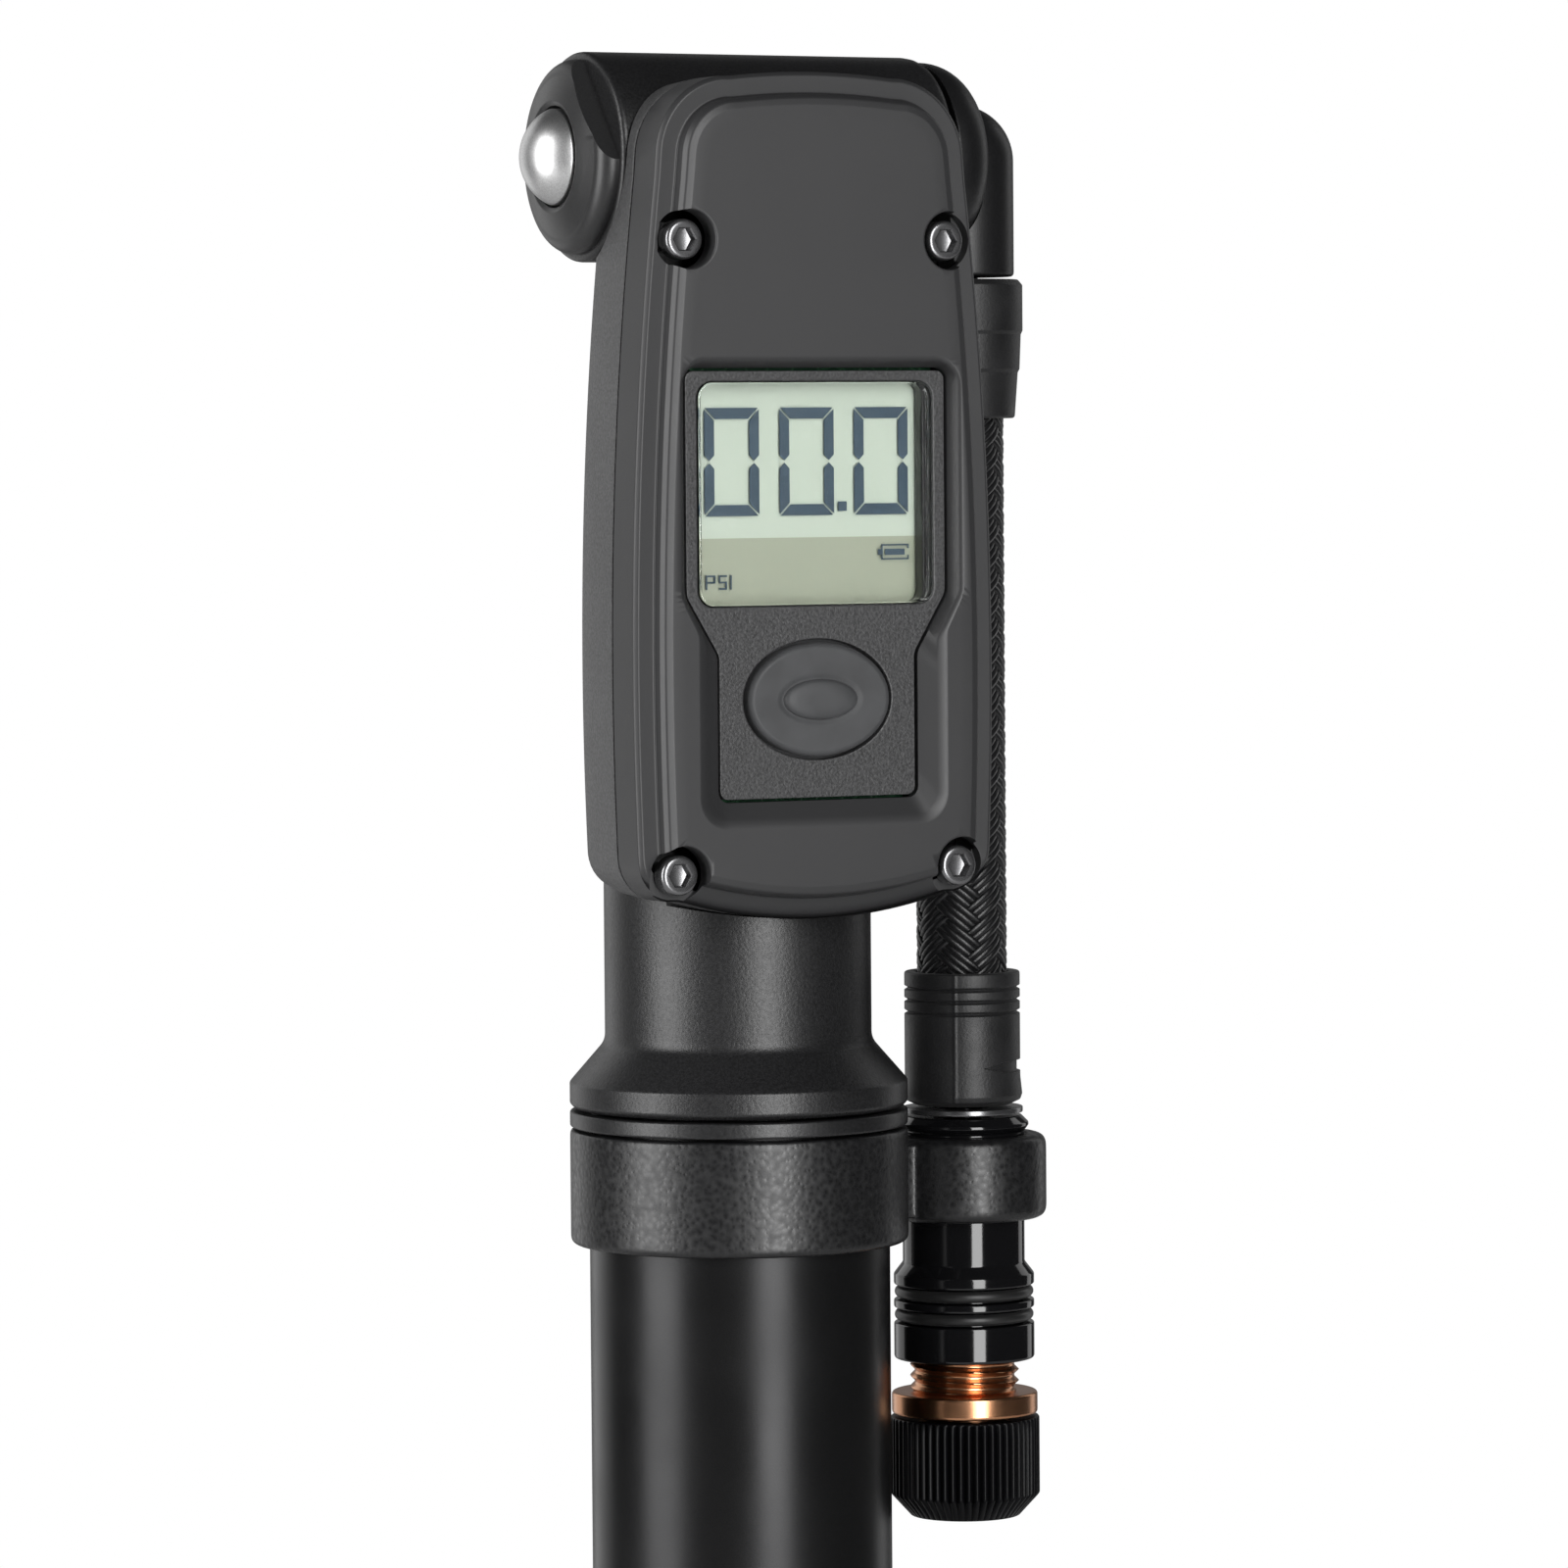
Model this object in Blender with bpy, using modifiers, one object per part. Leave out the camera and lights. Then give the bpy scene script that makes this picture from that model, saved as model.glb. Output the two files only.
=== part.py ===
"""Shock suspension pump with a digital gauge, a swivel hose and a threaded valve chuck.

The pump stands upright on its handle: +Z runs up the barrel, -Y is the face of the gauge and +X is
the hose side. The origin is the centre of the handle's flat base, on the barrel's axis. Named sizes
are in millimetres and MM turns them into metres.
"""
import math

import bmesh
import bpy
from mathutils import Vector

MM = 0.001
GAP = 0.3                    # clearance between neighbouring pieces

# Handle, at the bottom
BASE_R = 18.0
HANDLE_TOP = 62.0
HANDLE_FLANGE_R = 17.6
CAP_TOP = 7.0
CORE_R = 11.5

# Barrel and what slides in it
BARREL_R = 16.0
BARREL_WALL = 1.8
BARREL_BOTTOM = 74.0
GLAND_BOTTOM = 66.5
ROD_R = 5.0
CYLINDER_R = 9.3
CYLINDER_BORE = 7.9
PISTON_TOP = 178.6
PISTON_LENGTH = 10.0

# Collar, ring and head
COLLAR_R = 18.0
COLLAR_BOTTOM = 169.8
COLLAR_TOP = 182.0
RING_TOP = 184.0
HEAD_BOTTOM = 184.3
FLARE_TOP = 191.4
NECK_R = 14.2
NECK_TOP = 279.3
NECK_FLAT_Y = -7.5           # flat on the neck that carries the gauge

# Cross cylinder at the top of the head, with its axis along X
CROSS_Z = 284.8
CROSS_R = 11.0
CROSS_LEFT = -14.6
CROSS_RIGHT = 21.6

# Bleed valve, at the left end
BEZEL_R = 10.2
BEZEL_FACE = -21.15
BUTTON_R = 5.03
BUTTON_DOME = 3.05

# Hose, at the right end
HOSE_X = 27.1
HOSE_R = 4.9
HOSE_BORE = 2.5
ELBOW_R = 6.1
KNUCKLE_R = 10.5
KNUCKLE_END = 27.3
KNUCKLE_ROUND = 5.0
UPPER_BOOT_TOP = 272.1
UPPER_BOOT_BOTTOM = 257.2
LOWER_BOOT_TOP = 197.6
LOWER_BOOT_BOTTOM = 183.2
NECK_CLIP_R = 6.6            # waist of the connector, held by the clip
CONNECTOR_R = 7.6
CONNECTOR_TOP = 182.0
CONNECTOR_BOTTOM = 155.6
SLEEVE_FLANGE_TOP = 152.0
SLEEVE_FLANGE_BOTTOM = 149.6
VALVE_CAP_R = 8.1
VALVE_CAP_BOTTOM = 138.5
SOCKET_R = 4.0               # bore that takes the tyre valve
SEAL_TOPS = [163.7, 161.2]   # upper edges of the connector's two O-ring grooves

# Hose clip, on the collar
CLIP_R = 9.0
CLIP_BORE = 6.9
CLIP_BOTTOM = 170.9
CLIP_TOP = 180.0
CLIP_MOUTH_Y = 2.6

# Gauge
GAUGE_HALF_WIDTH = 21.0
GAUGE_WIDEST_Z = 231.5
GAUGE_TOP = 293.1
GAUGE_BOTTOM = 205.2
GAUGE_CORNER_TOP = 8.5
GAUGE_CORNER_BOTTOM = 6.5
FACE_Y = -20.7
STEP_Y = -19.4               # foot of the step round the raised face
RIM_Y = -18.85
SEAM_Y = -13.5
GAUGE_BACK_Y = -2.0
GAUGE_WALL = 1.6
CAVITY_BACK_Y = -9.1
PLATE_Y = -19.1
PLATE_THICK = 1.0
WINDOW_Z = (237.95, 261.0)
WINDOW_HALF_WIDTH = 13.6
WALL_FOOT_Y = -19.2          # where the recess's sloping wall ends
MODE_Z = 228.1
MODE_SIZE = (16.5, 11.8)
SCREWS = [(-15.2, 275.7), (15.2, 275.7), (-16.3, 210.3), (16.3, 210.3)]
SENSOR_Z = 252.5             # pressure sensor, on the air passage up the neck
CELL_Z = 226.5               # coin cell
MOUNT_SCREWS = [264.5, 211.2]

SIDES = 28                   # steps round a large turned piece
HOSE_SIDES = 20               # steps round the hose and its chuck
SMALL_SIDES = 12             # steps round a small one

# Base colour, roughness and metallic value of each finish
FINISHES = {
    "textured_black": ((0.030, 0.030, 0.032), 0.50, 0.0),
    "anodised_black": ((0.022, 0.022, 0.024), 0.33, 0.7),
    "gloss_black": ((0.012, 0.012, 0.014), 0.15, 0.6),
    "shell_grey": ((0.070, 0.070, 0.072), 0.48, 0.0),
    "rubber_black": ((0.022, 0.022, 0.022), 0.70, 0.0),
    "rubber_grey": ((0.125, 0.128, 0.130), 0.60, 0.0),
    "braid_black": ((0.028, 0.028, 0.030), 0.55, 0.0),
    "polished_steel": ((0.72, 0.72, 0.72), 0.18, 1.0),
    "copper": ((0.60, 0.24, 0.09), 0.30, 1.0),
    "brass": ((0.66, 0.48, 0.20), 0.30, 1.0),
    "clear": ((0.85, 0.88, 0.85), 0.05, 0.0),
    "display": ((0.66, 0.70, 0.58), 0.35, 0.0),
    "board_green": ((0.03, 0.16, 0.07), 0.45, 0.0),
}


# ------------------------------------------------------------------ scene and helpers

def clear_scene():
    for obj in list(bpy.data.objects):
        bpy.data.objects.remove(obj, do_unlink=True)


def new_collection(name):
    collection = bpy.data.collections.new(name)
    bpy.context.scene.collection.children.link(collection)
    return collection


clear_scene()
PARTS = new_collection("suspension_pump")
CUTTERS = new_collection("cutters")
GUIDES = new_collection("joint_axes")

# Turns the local +Z of a turned piece to a world axis
TURN = {
    "Z": (0.0, 0.0, 0.0),
    "X": (0.0, math.radians(90), 0.0),
    "-Y": (math.radians(90), 0.0, 0.0),
}


def finish_material(name, finish):
    colour, roughness, metallic = FINISHES[finish]
    material = bpy.data.materials.new(name)
    material.use_nodes = True
    shader = material.node_tree.nodes["Principled BSDF"]
    shader.inputs["Base Color"].default_value = (*colour, 1.0)
    shader.inputs["Roughness"].default_value = roughness
    shader.inputs["Metallic"].default_value = metallic
    material.diffuse_color = (*colour, 1.0)
    return material


def add_object(name, data, finish=None, at=(0, 0, 0), axis="Z"):
    """Link an object as a part, or as a cutter where it has no finish."""
    obj = bpy.data.objects.new(name, data)
    obj.location = Vector(at) * MM
    obj.rotation_euler = TURN[axis]
    if finish:
        data.materials.append(finish_material(name, finish))
        PARTS.objects.link(obj)
    else:
        CUTTERS.objects.link(obj)
        obj.hide_render = True
        obj.display_type = "WIRE"
    return obj


def mesh_from(bm, name, smooth_angle=35):
    mesh = bpy.data.meshes.new(name)
    bm.to_mesh(mesh)
    bm.free()
    mesh.shade_smooth()
    mesh.set_sharp_from_angle(angle=math.radians(smooth_angle))
    return mesh


def turned(name, profile, finish=None, at=(0, 0, 0), axis="Z", sides=SIDES):
    """Turn a profile of (radius, height) points, listed from the top down the outer side.

    A profile that starts and ends on the axis is solid; any other is closed into a ring.
    """
    bm = bmesh.new()
    verts = [bm.verts.new((radius * MM, 0, height * MM)) for radius, height in profile]
    for first, second in zip(verts, verts[1:]):
        bm.edges.new((first, second))
    if profile[0][0] > 0:
        bm.edges.new((verts[-1], verts[0]))
    mesh = bpy.data.meshes.new(name)
    bm.to_mesh(mesh)
    bm.free()
    obj = add_object(name, mesh, finish, at, axis)
    screw = obj.modifiers.new("Turn", "SCREW")
    screw.axis = "Z"
    screw.steps = sides
    screw.render_steps = sides
    screw.use_merge_vertices = True
    screw.merge_threshold = 0.00001
    screw.use_smooth_shade = True
    return obj


def rod(name, radius, bottom, top, finish=None, at=(0, 0, 0), axis="Z", sides=SMALL_SIDES):
    profile = [(0, top), (radius, top), (radius, bottom), (0, bottom)]
    return turned(name, profile, finish, at, axis, sides)


def stepped_rod(name, steps, bottom, finish=None, at=(0, 0, 0), axis="Z", sides=SMALL_SIDES):
    """A solid of several radii: each step is (radius, top), from the top down to bottom."""
    profile = [(0, steps[0][1])]
    ends = [top for _, top in steps[1:]] + [bottom]
    for (radius, top), end in zip(steps, ends):
        profile += [(radius, top), (radius, end)]
    profile.append((0, bottom))
    return turned(name, profile, finish, at, axis, sides)


def ring(name, inner, outer, bottom, top, finish=None, at=(0, 0, 0), axis="Z", sides=SIDES):
    profile = [(inner, top), (outer, top), (outer, bottom), (inner, bottom)]
    return turned(name, profile, finish, at, axis, sides)


def seal_ring(name, major, minor, at, axis="Z", sides=SMALL_SIDES):
    """A rubber O-ring."""
    steps = 6
    profile = []
    for i in range(steps):
        angle = math.pi / 2 - 2 * math.pi * i / steps
        profile.append((major + minor * math.cos(angle), minor * math.sin(angle)))
    return turned(name, profile, "rubber_black", at, axis, sides)


def block(name, low, high, finish=None, bevel=0.0):
    """A box between two corners, with rounded edges if bevel is given."""
    low = Vector(low)
    high = Vector(high)
    bm = bmesh.new()
    bmesh.ops.create_cube(bm, size=MM)
    size = high - low
    bmesh.ops.scale(bm, vec=size, verts=bm.verts)
    obj = add_object(name, mesh_from(bm, name), finish, (low + high) / 2)
    if bevel:
        soften(obj, bevel, 2)
    return obj


def soften(obj, width, segments=1):
    bevel = obj.modifiers.new("Soften", "BEVEL")
    bevel.width = width * MM
    bevel.segments = segments
    bevel.limit_method = "ANGLE"
    bevel.angle_limit = math.radians(40)
    return bevel


def cut(obj, *cutters):
    for cutter in cutters:
        boolean(obj, cutter, "DIFFERENCE")


def join(obj, *others):
    """Join other shapes, which stay as guides among the cutters."""
    for other in others:
        boolean(obj, other, "UNION")


def boolean(obj, other, operation):
    modifier = obj.modifiers.new(other.name, "BOOLEAN")
    modifier.operation = operation
    modifier.solver = "EXACT"
    modifier.object = other


def arc(centre, radius, start, end, steps):
    """Points on an arc, with the angles in degrees from the first axis."""
    points = []
    for i in range(steps + 1):
        angle = math.radians(start + (end - start) * i / steps)
        points.append((centre[0] + radius * math.cos(angle), centre[1] + radius * math.sin(angle)))
    return points


def rounded_box(half_width, bottom, top, radius, steps=4):
    """Outline of an upright rectangle with round corners, as (x, z) points."""
    x = half_width - radius
    low = bottom + radius
    high = top - radius
    points = arc((x, high), radius, 90, 0, steps)
    points += arc((x, low), radius, 0, -90, steps)
    points += arc((-x, low), radius, -90, -180, steps)
    points += arc((-x, high), radius, 180, 90, steps)
    return points


def oval(width, height, centre_z, steps=28):
    """Outline of an ellipse, as (x, z) points."""
    points = []
    for i in range(steps):
        angle = math.pi / 2 - 2 * math.pi * i / steps
        points.append((width / 2 * math.cos(angle), centre_z + height / 2 * math.sin(angle)))
    return points


def loft(name, sections, finish=None):
    """Skin sections of equal length, each a depth y and an outline of (x, z) points.

    The sections run from the front to the back, and each outline runs clockwise seen from the front.
    """
    bm = bmesh.new()
    loops = []
    for depth, outline in sections:
        loops.append([bm.verts.new((x * MM, depth * MM, z * MM)) for x, z in outline])
    for front, back in zip(loops, loops[1:]):
        for i in range(len(front)):
            after = (i + 1) % len(front)
            bm.faces.new((front[i], front[after], back[after], back[i]))
    bm.faces.new(loops[0])
    bm.faces.new(loops[-1])
    bmesh.ops.recalc_face_normals(bm, faces=bm.faces)
    return add_object(name, mesh_from(bm, name), finish)


def slab(name, outline, front, back, finish=None):
    return loft(name, [(front, outline), (back, outline)], finish)


def coil(name, radius, wire, start, turns, pitch, finish, at, axis):
    """A compression spring: a wire on a helix about the local Z axis."""
    steps = 8
    curve = bpy.data.curves.new(name, "CURVE")
    curve.dimensions = "3D"
    curve.bevel_depth = wire * MM
    curve.bevel_resolution = 1
    curve.use_fill_caps = True
    spline = curve.splines.new("POLY")
    count = turns * steps + 1
    spline.points.add(count - 1)
    for i, point in enumerate(spline.points):
        angle = 2 * math.pi * i / steps
        height = start + pitch * i / steps
        point.co = (radius * MM * math.cos(angle), radius * MM * math.sin(angle), height * MM, 1)
    return add_object(name, curve, finish, at, axis)


# ------------------------------------------------------------------ head, ring and collar

def cross_space(name, radius):
    """A long cylinder about the cross axis, for the space that the head takes."""
    reach = 40.0
    return rod(name, radius, -reach, reach, at=(0, 0, CROSS_Z), axis="X", sides=SIDES)


def make_head():
    """One casting: spigot, flare, neck and the cross cylinder, with its air passages."""
    shoulder = arc((NECK_R - 6.0, NECK_TOP - 6.0), 6.0, 90, 0, 3)
    spigot_r = BARREL_R - BARREL_WALL - GAP
    profile = [(0, NECK_TOP)] + shoulder + [
        (NECK_R, FLARE_TOP), (NECK_R + 0.5, FLARE_TOP - 0.8),
        (COLLAR_R - 0.5, 187.6), (COLLAR_R, 187.0),
        (COLLAR_R, HEAD_BOTTOM + 0.6), (COLLAR_R - 0.4, HEAD_BOTTOM),
        (spigot_r, HEAD_BOTTOM), (spigot_r, 180.8), (spigot_r - 1.7, 180.8),
        (spigot_r - 1.7, 178.8), (spigot_r, 178.8), (spigot_r, 174.0)]
    socket_r = CYLINDER_R + GAP
    profile += [(socket_r, 174.0), (socket_r, 183.0), (3.4, 183.0), (3.4, 194.0), (1.6, 194.0),
                (1.6, 262.0), (0, 262.0)]
    head = turned("head_body", profile, "textured_black")
    edge = 0.6
    rounding = 1.5
    cross = [(4.5, CROSS_RIGHT)] + arc((CROSS_R - rounding, CROSS_RIGHT - rounding), rounding, 90, 0, 3)
    cross += [(CROSS_R, CROSS_LEFT + edge), (CROSS_R - edge, CROSS_LEFT), (6.3, CROSS_LEFT),
             (6.3, -13.2), (5.2, -13.2), (5.2, -6.0), (1.7, -6.0), (1.7, 11.8), (4.5, 11.8)]
    side = 40
    cut(head, block("neck_flat", (-side, -side, 205.0), (side, NECK_FLAT_Y, 300.0)))
    join(head, turned("head_cross", cross, None, (0, 0, CROSS_Z), "X"))
    air = rod("air_passage", 2.1, 262.0, CROSS_Z, sides=12)
    port = stepped_rod("sensor_port", [(3.5, 12.0), (1.9, 5.6)], 0.1, at=(0, 0, SENSOR_Z), axis="-Y")
    cut(head, air, port)
    for i, height in enumerate(MOUNT_SCREWS):
        cut(head, rod(f"mount_hole_{i}", 1.4, 2.4, 12.0, at=(0, 0, height), axis="-Y"))
    return head


def make_ring():
    edge = 0.3
    inner = BARREL_R + GAP
    bottom = COLLAR_TOP + GAP
    profile = [(inner, RING_TOP), (COLLAR_R - edge, RING_TOP), (COLLAR_R, RING_TOP - edge),
               (COLLAR_R, bottom + edge), (COLLAR_R - edge, bottom), (inner, bottom)]
    return turned("seam_ring", profile, "textured_black")


def make_collar():
    """The collar round the barrel and the clip that parks the hose, moulded as one piece."""
    inner = BARREL_R + GAP
    fillet = arc((COLLAR_R - 1.6, COLLAR_BOTTOM + 1.9), 1.6, 0, -80, 2)
    profile = [(inner, COLLAR_TOP), (COLLAR_R - 0.3, COLLAR_TOP), (COLLAR_R, COLLAR_TOP - 0.3)]
    profile += fillet + [(inner, COLLAR_BOTTOM)]
    collar = turned("hose_clip_collar", profile, "textured_black")
    centre = (HOSE_X, 0, 0)
    edge = 0.6
    body = [(0, CLIP_TOP), (CLIP_R - edge, CLIP_TOP), (CLIP_R, CLIP_TOP - edge),
            (CLIP_R, CLIP_BOTTOM + edge), (CLIP_R - edge, CLIP_BOTTOM), (0, CLIP_BOTTOM)]
    barrel_clearance = rod("collar_bore", inner, 160.0, 190.0, sides=SIDES)
    web_half = 5.5
    web = block("clip_web", (13.0, -web_half, CLIP_BOTTOM + 0.6), (HOSE_X, CLIP_MOUTH_Y, CLIP_TOP - 0.6))
    cut(web, barrel_clearance)
    join(collar, turned("clip_body", body, None, centre), web)
    cut(collar, clip_slot())
    return collar


def clip_slot():
    """The clip's bore with its mouth towards the back, and the space behind the clip's lips."""
    far = 24.0
    half = arc((HOSE_X, 0), CLIP_BORE, 0, -180, 14)
    outline = [(45.0, far), (45.0, CLIP_MOUTH_Y)]
    outline += [(HOSE_X + CLIP_BORE, CLIP_MOUTH_Y)] + half + [(HOSE_X - CLIP_BORE, CLIP_MOUTH_Y)]
    outline += [(COLLAR_R + 0.6, CLIP_MOUTH_Y), (COLLAR_R + 0.6, far)]
    slot = slab("clip_slot", outline, -190.0, -160.0)
    slot.rotation_euler = (math.radians(-90), 0, 0)
    return slot


# ------------------------------------------------------------------ pump

def make_pump():
    barrel_inner = BARREL_R - BARREL_WALL
    ring("barrel_tube", barrel_inner, BARREL_R, BARREL_BOTTOM, RING_TOP, "anodised_black")
    seal_ring("barrel_seal", barrel_inner - 1.05, 0.75, (0, 0, 179.8), sides=SIDES)
    ring("pump_cylinder", CYLINDER_BORE, CYLINDER_R, 76.0, 180.2, "polished_steel")

    gland = [(ROD_R + GAP, 75.6), (barrel_inner - GAP, 75.6), (barrel_inner - GAP, 73.6),
             (COLLAR_R - 0.5, 73.6), (COLLAR_R, 73.0), (COLLAR_R, 67.6),
             (COLLAR_R - 1.1, GLAND_BOTTOM), (7.6, GLAND_BOTTOM), (7.6, 69.0), (ROD_R + GAP, 69.0)]
    turned("rod_gland", gland, "textured_black")
    ring("rod_wiper", ROD_R + GAP, 7.3, GLAND_BOTTOM + 0.1, 68.7, "rubber_black")

    # check valve above the cylinder
    ring("valve_seat", 1.3, 8.4, 180.6, 182.6, "brass", sides=SMALL_SIDES)
    ball = [(0, 2.1)] + arc((0, 0), 2.1, 72, -72, 8) + [(0, -2.1)]
    turned("check_ball", ball, "polished_steel", (0, 0, 185.05), sides=16)
    coil("check_spring", 2.2, 0.3, 187.9, 3, 1.7, "polished_steel", (0, 0, 0), "Z")


def make_plunger():
    """Everything that the hand moves: piston, rod and handle."""
    bottom = PISTON_TOP - PISTON_LENGTH
    piston_r = CYLINDER_BORE - GAP
    groove = 1.9
    piston = [(0, PISTON_TOP), (piston_r - 0.4, PISTON_TOP), (piston_r, PISTON_TOP - 0.4),
              (piston_r, bottom + 7.0), (piston_r - groove, bottom + 7.0),
              (piston_r - groove, bottom + 4.6), (piston_r, bottom + 4.6), (piston_r, bottom),
              (2.8, bottom), (2.8, bottom + 6.0), (0, bottom + 6.0)]
    turned("piston", piston, "brass")
    seal_ring("piston_seal", piston_r - 0.75, 0.75, (0, 0, bottom + 5.8))
    rod_profile = [(0, bottom + 5.7), (2.5, bottom + 5.7), (2.5, bottom - GAP), (ROD_R, bottom - GAP),
                   (ROD_R, 14.3), (2.3, 14.3), (2.3, 30.0), (0, 30.0)]
    turned("piston_rod", rod_profile, "polished_steel")
    ring("handle_bumper", ROD_R + GAP, 9.0, HANDLE_TOP + GAP, GLAND_BOTTOM - 0.5, "rubber_black")

    flange = HANDLE_FLANGE_R
    core = [(ROD_R + GAP, HANDLE_TOP), (flange - 1.0, HANDLE_TOP), (flange, HANDLE_TOP - 1.0),
            (flange, HANDLE_TOP - 4.0), (CORE_R, HANDLE_TOP - 4.0), (CORE_R, 7.3),
            (4.8, 7.3), (4.8, 12.2), (2.5, 12.2), (2.5, 14.0), (ROD_R + GAP, 14.0)]
    turned("handle_core", core, "textured_black")
    turned("handle_grip", grip_profile(), "rubber_black")
    cap = [(0, CAP_TOP), (BASE_R + 1.2, CAP_TOP), (BASE_R + 1.6, CAP_TOP - 1.2),
           (BASE_R + 1.6, 2.6)] + arc((BASE_R - 0.8, 2.4), 2.4, 0, -90, 2) + [(0, 0)]
    turned("handle_end_cap", cap, "textured_black")
    screw = [(0, 28.0), (2.0, 28.0), (2.0, 11.9), (4.4, 11.9), (4.4, 7.6), (2.0, 7.6),
             (2.0, 9.6), (0, 9.6)]
    turned("handle_screw", screw, "polished_steel", sides=SMALL_SIDES)


def grip_profile():
    """A rubber sleeve that is waisted under the flange and swells towards the palm."""
    inner = CORE_R + GAP
    top = HANDLE_TOP - 4.0 - GAP
    bottom = CAP_TOP + GAP
    points = [(inner, top), (HANDLE_FLANGE_R - 0.5, top), (HANDLE_FLANGE_R, top - 0.6)]
    steps = 7
    for i in range(1, steps):
        along = i / steps
        height = top - 0.6 - (top - bottom - 1.2) * along
        radius = HANDLE_FLANGE_R + 2.0 * along - 1.6 * math.sin(math.pi * along) ** 2 * (1 - along)
        points.append((radius, height))
    points += [(BASE_R + 1.6, bottom + 0.6), (BASE_R + 1.0, bottom), (inner, bottom)]
    return points


# ------------------------------------------------------------------ bleed valve

def make_bleed_valve():
    cross = (0, 0, CROSS_Z)
    back = CROSS_LEFT - GAP
    lip = BUTTON_R + 0.3
    bezel = [(6.1, back), (BEZEL_R - 0.5, back), (BEZEL_R, back - 0.5), (BEZEL_R, -18.3)]
    bezel += arc((BEZEL_R - 1.8, -18.3), 1.8, 0, -90, 3)[1:]
    bezel += [(lip + 0.4, -21.0), (lip, -20.8), (lip, -19.2), (6.1, -19.2)]
    turned("bleed_bezel", bezel, "anodised_black", cross, "X")

    button = bpy.data.objects.new("bleed_press_axis", None)
    button.location = Vector(cross) * MM
    GUIDES.objects.link(button)
    dome_r = (BUTTON_R ** 2 + BUTTON_DOME ** 2) / (2 * BUTTON_DOME)
    half = math.degrees(math.asin(BUTTON_R / dome_r))
    dome_centre = BEZEL_FACE - BUTTON_DOME + dome_r
    dome = arc((0, dome_centre), dome_r, -90 + half, -90, 4)[:-1] + [(0, BEZEL_FACE - BUTTON_DOME)]
    profile = [(0, -17.6), (5.75, -17.6), (5.75, -18.8), (BUTTON_R, -18.8)] + dome
    cap = turned("bleed_button", profile, "polished_steel", (0, 0, 0), "X")
    pin = rod("bleed_pin", 1.1, -17.3, -3.0, "brass", (0, 0, 0), "X", 16)
    for piece in (cap, pin):
        piece.parent = button
    coil("bleed_spring", 3.9, 0.35, -16.9, 4, 1.7, "polished_steel", cross, "X")
    seal_ring("bleed_seal", 2.6, 0.8, (-7.2, 0, CROSS_Z), "X", 16)


# ------------------------------------------------------------------ swivel, hose and chuck

def make_swivel():
    """The knuckle that turns in the head, and the elbow that leads the hose down."""
    start = CROSS_RIGHT + GAP
    cross = (0, 0, CROSS_Z)

    def knuckle_profile(grow):
        end = KNUCKLE_END + grow
        centre = (KNUCKLE_R + grow - KNUCKLE_ROUND, end - KNUCKLE_ROUND)
        return [(0, end)] + arc(centre, KNUCKLE_ROUND, 90, 0, 4)

    groove = 3.0
    spigot = 4.2
    knuckle = knuckle_profile(0.0) + [
        (KNUCKLE_R, start + 0.4), (KNUCKLE_R - 0.4, start), (spigot, start), (spigot, 17.6),
        (groove, 17.6), (groove, 15.8), (spigot, 15.8), (spigot, 12.3), (0, 12.3)]
    turned("swivel_knuckle", knuckle, "anodised_black", cross, "X")
    seal_ring("swivel_seal", 3.72, 0.55, (16.7, 0, CROSS_Z), "X")

    bottom = UPPER_BOOT_TOP + GAP
    barb = 2.2
    dome = arc((0, CROSS_Z), ELBOW_R, 90, 0, 4)[1:]
    elbow_profile = [(0, CROSS_Z + ELBOW_R)] + dome + [
        (ELBOW_R, bottom + 0.5), (ELBOW_R - 0.5, bottom), (barb, bottom), (barb, 262.0), (0, 262.0)]
    elbow = turned("hose_elbow", elbow_profile, "textured_black", (HOSE_X, 0, 0))
    clearance = knuckle_profile(GAP) + [(KNUCKLE_R + GAP, start), (CROSS_R + 0.4, start),
                                        (CROSS_R + 0.4, 10.0), (0, 10.0)]
    cut(elbow, turned("elbow_clearance", clearance, None, cross, "X"))


def make_hose():
    at = (HOSE_X, 0, 0)
    inner = HOSE_R + GAP
    upper = [(inner, UPPER_BOOT_TOP), (6.5, UPPER_BOOT_TOP), (7.0, 271.5), (7.0, 266.6),
             (6.65, 262.4), (6.1, UPPER_BOOT_BOTTOM), (inner, UPPER_BOOT_BOTTOM)]
    turned("upper_boot", upper, "rubber_black", at, sides=HOSE_SIDES)
    ring("braided_hose", HOSE_BORE, HOSE_R, 184.0, 271.6, "braid_black", at, sides=HOSE_SIDES)

    lower = [(inner, LOWER_BOOT_TOP), (6.25, LOWER_BOOT_TOP), (6.25, 184.6),
             (6.45, LOWER_BOOT_BOTTOM), (inner, LOWER_BOOT_BOTTOM)]
    turned("lower_boot", lower, "rubber_black", at, sides=HOSE_SIDES)
    ring("hose_ferrule", 3.4, 6.5, CONNECTOR_TOP + GAP, LOWER_BOOT_BOTTOM - GAP, "polished_steel",
         at, sides=HOSE_SIDES)


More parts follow.
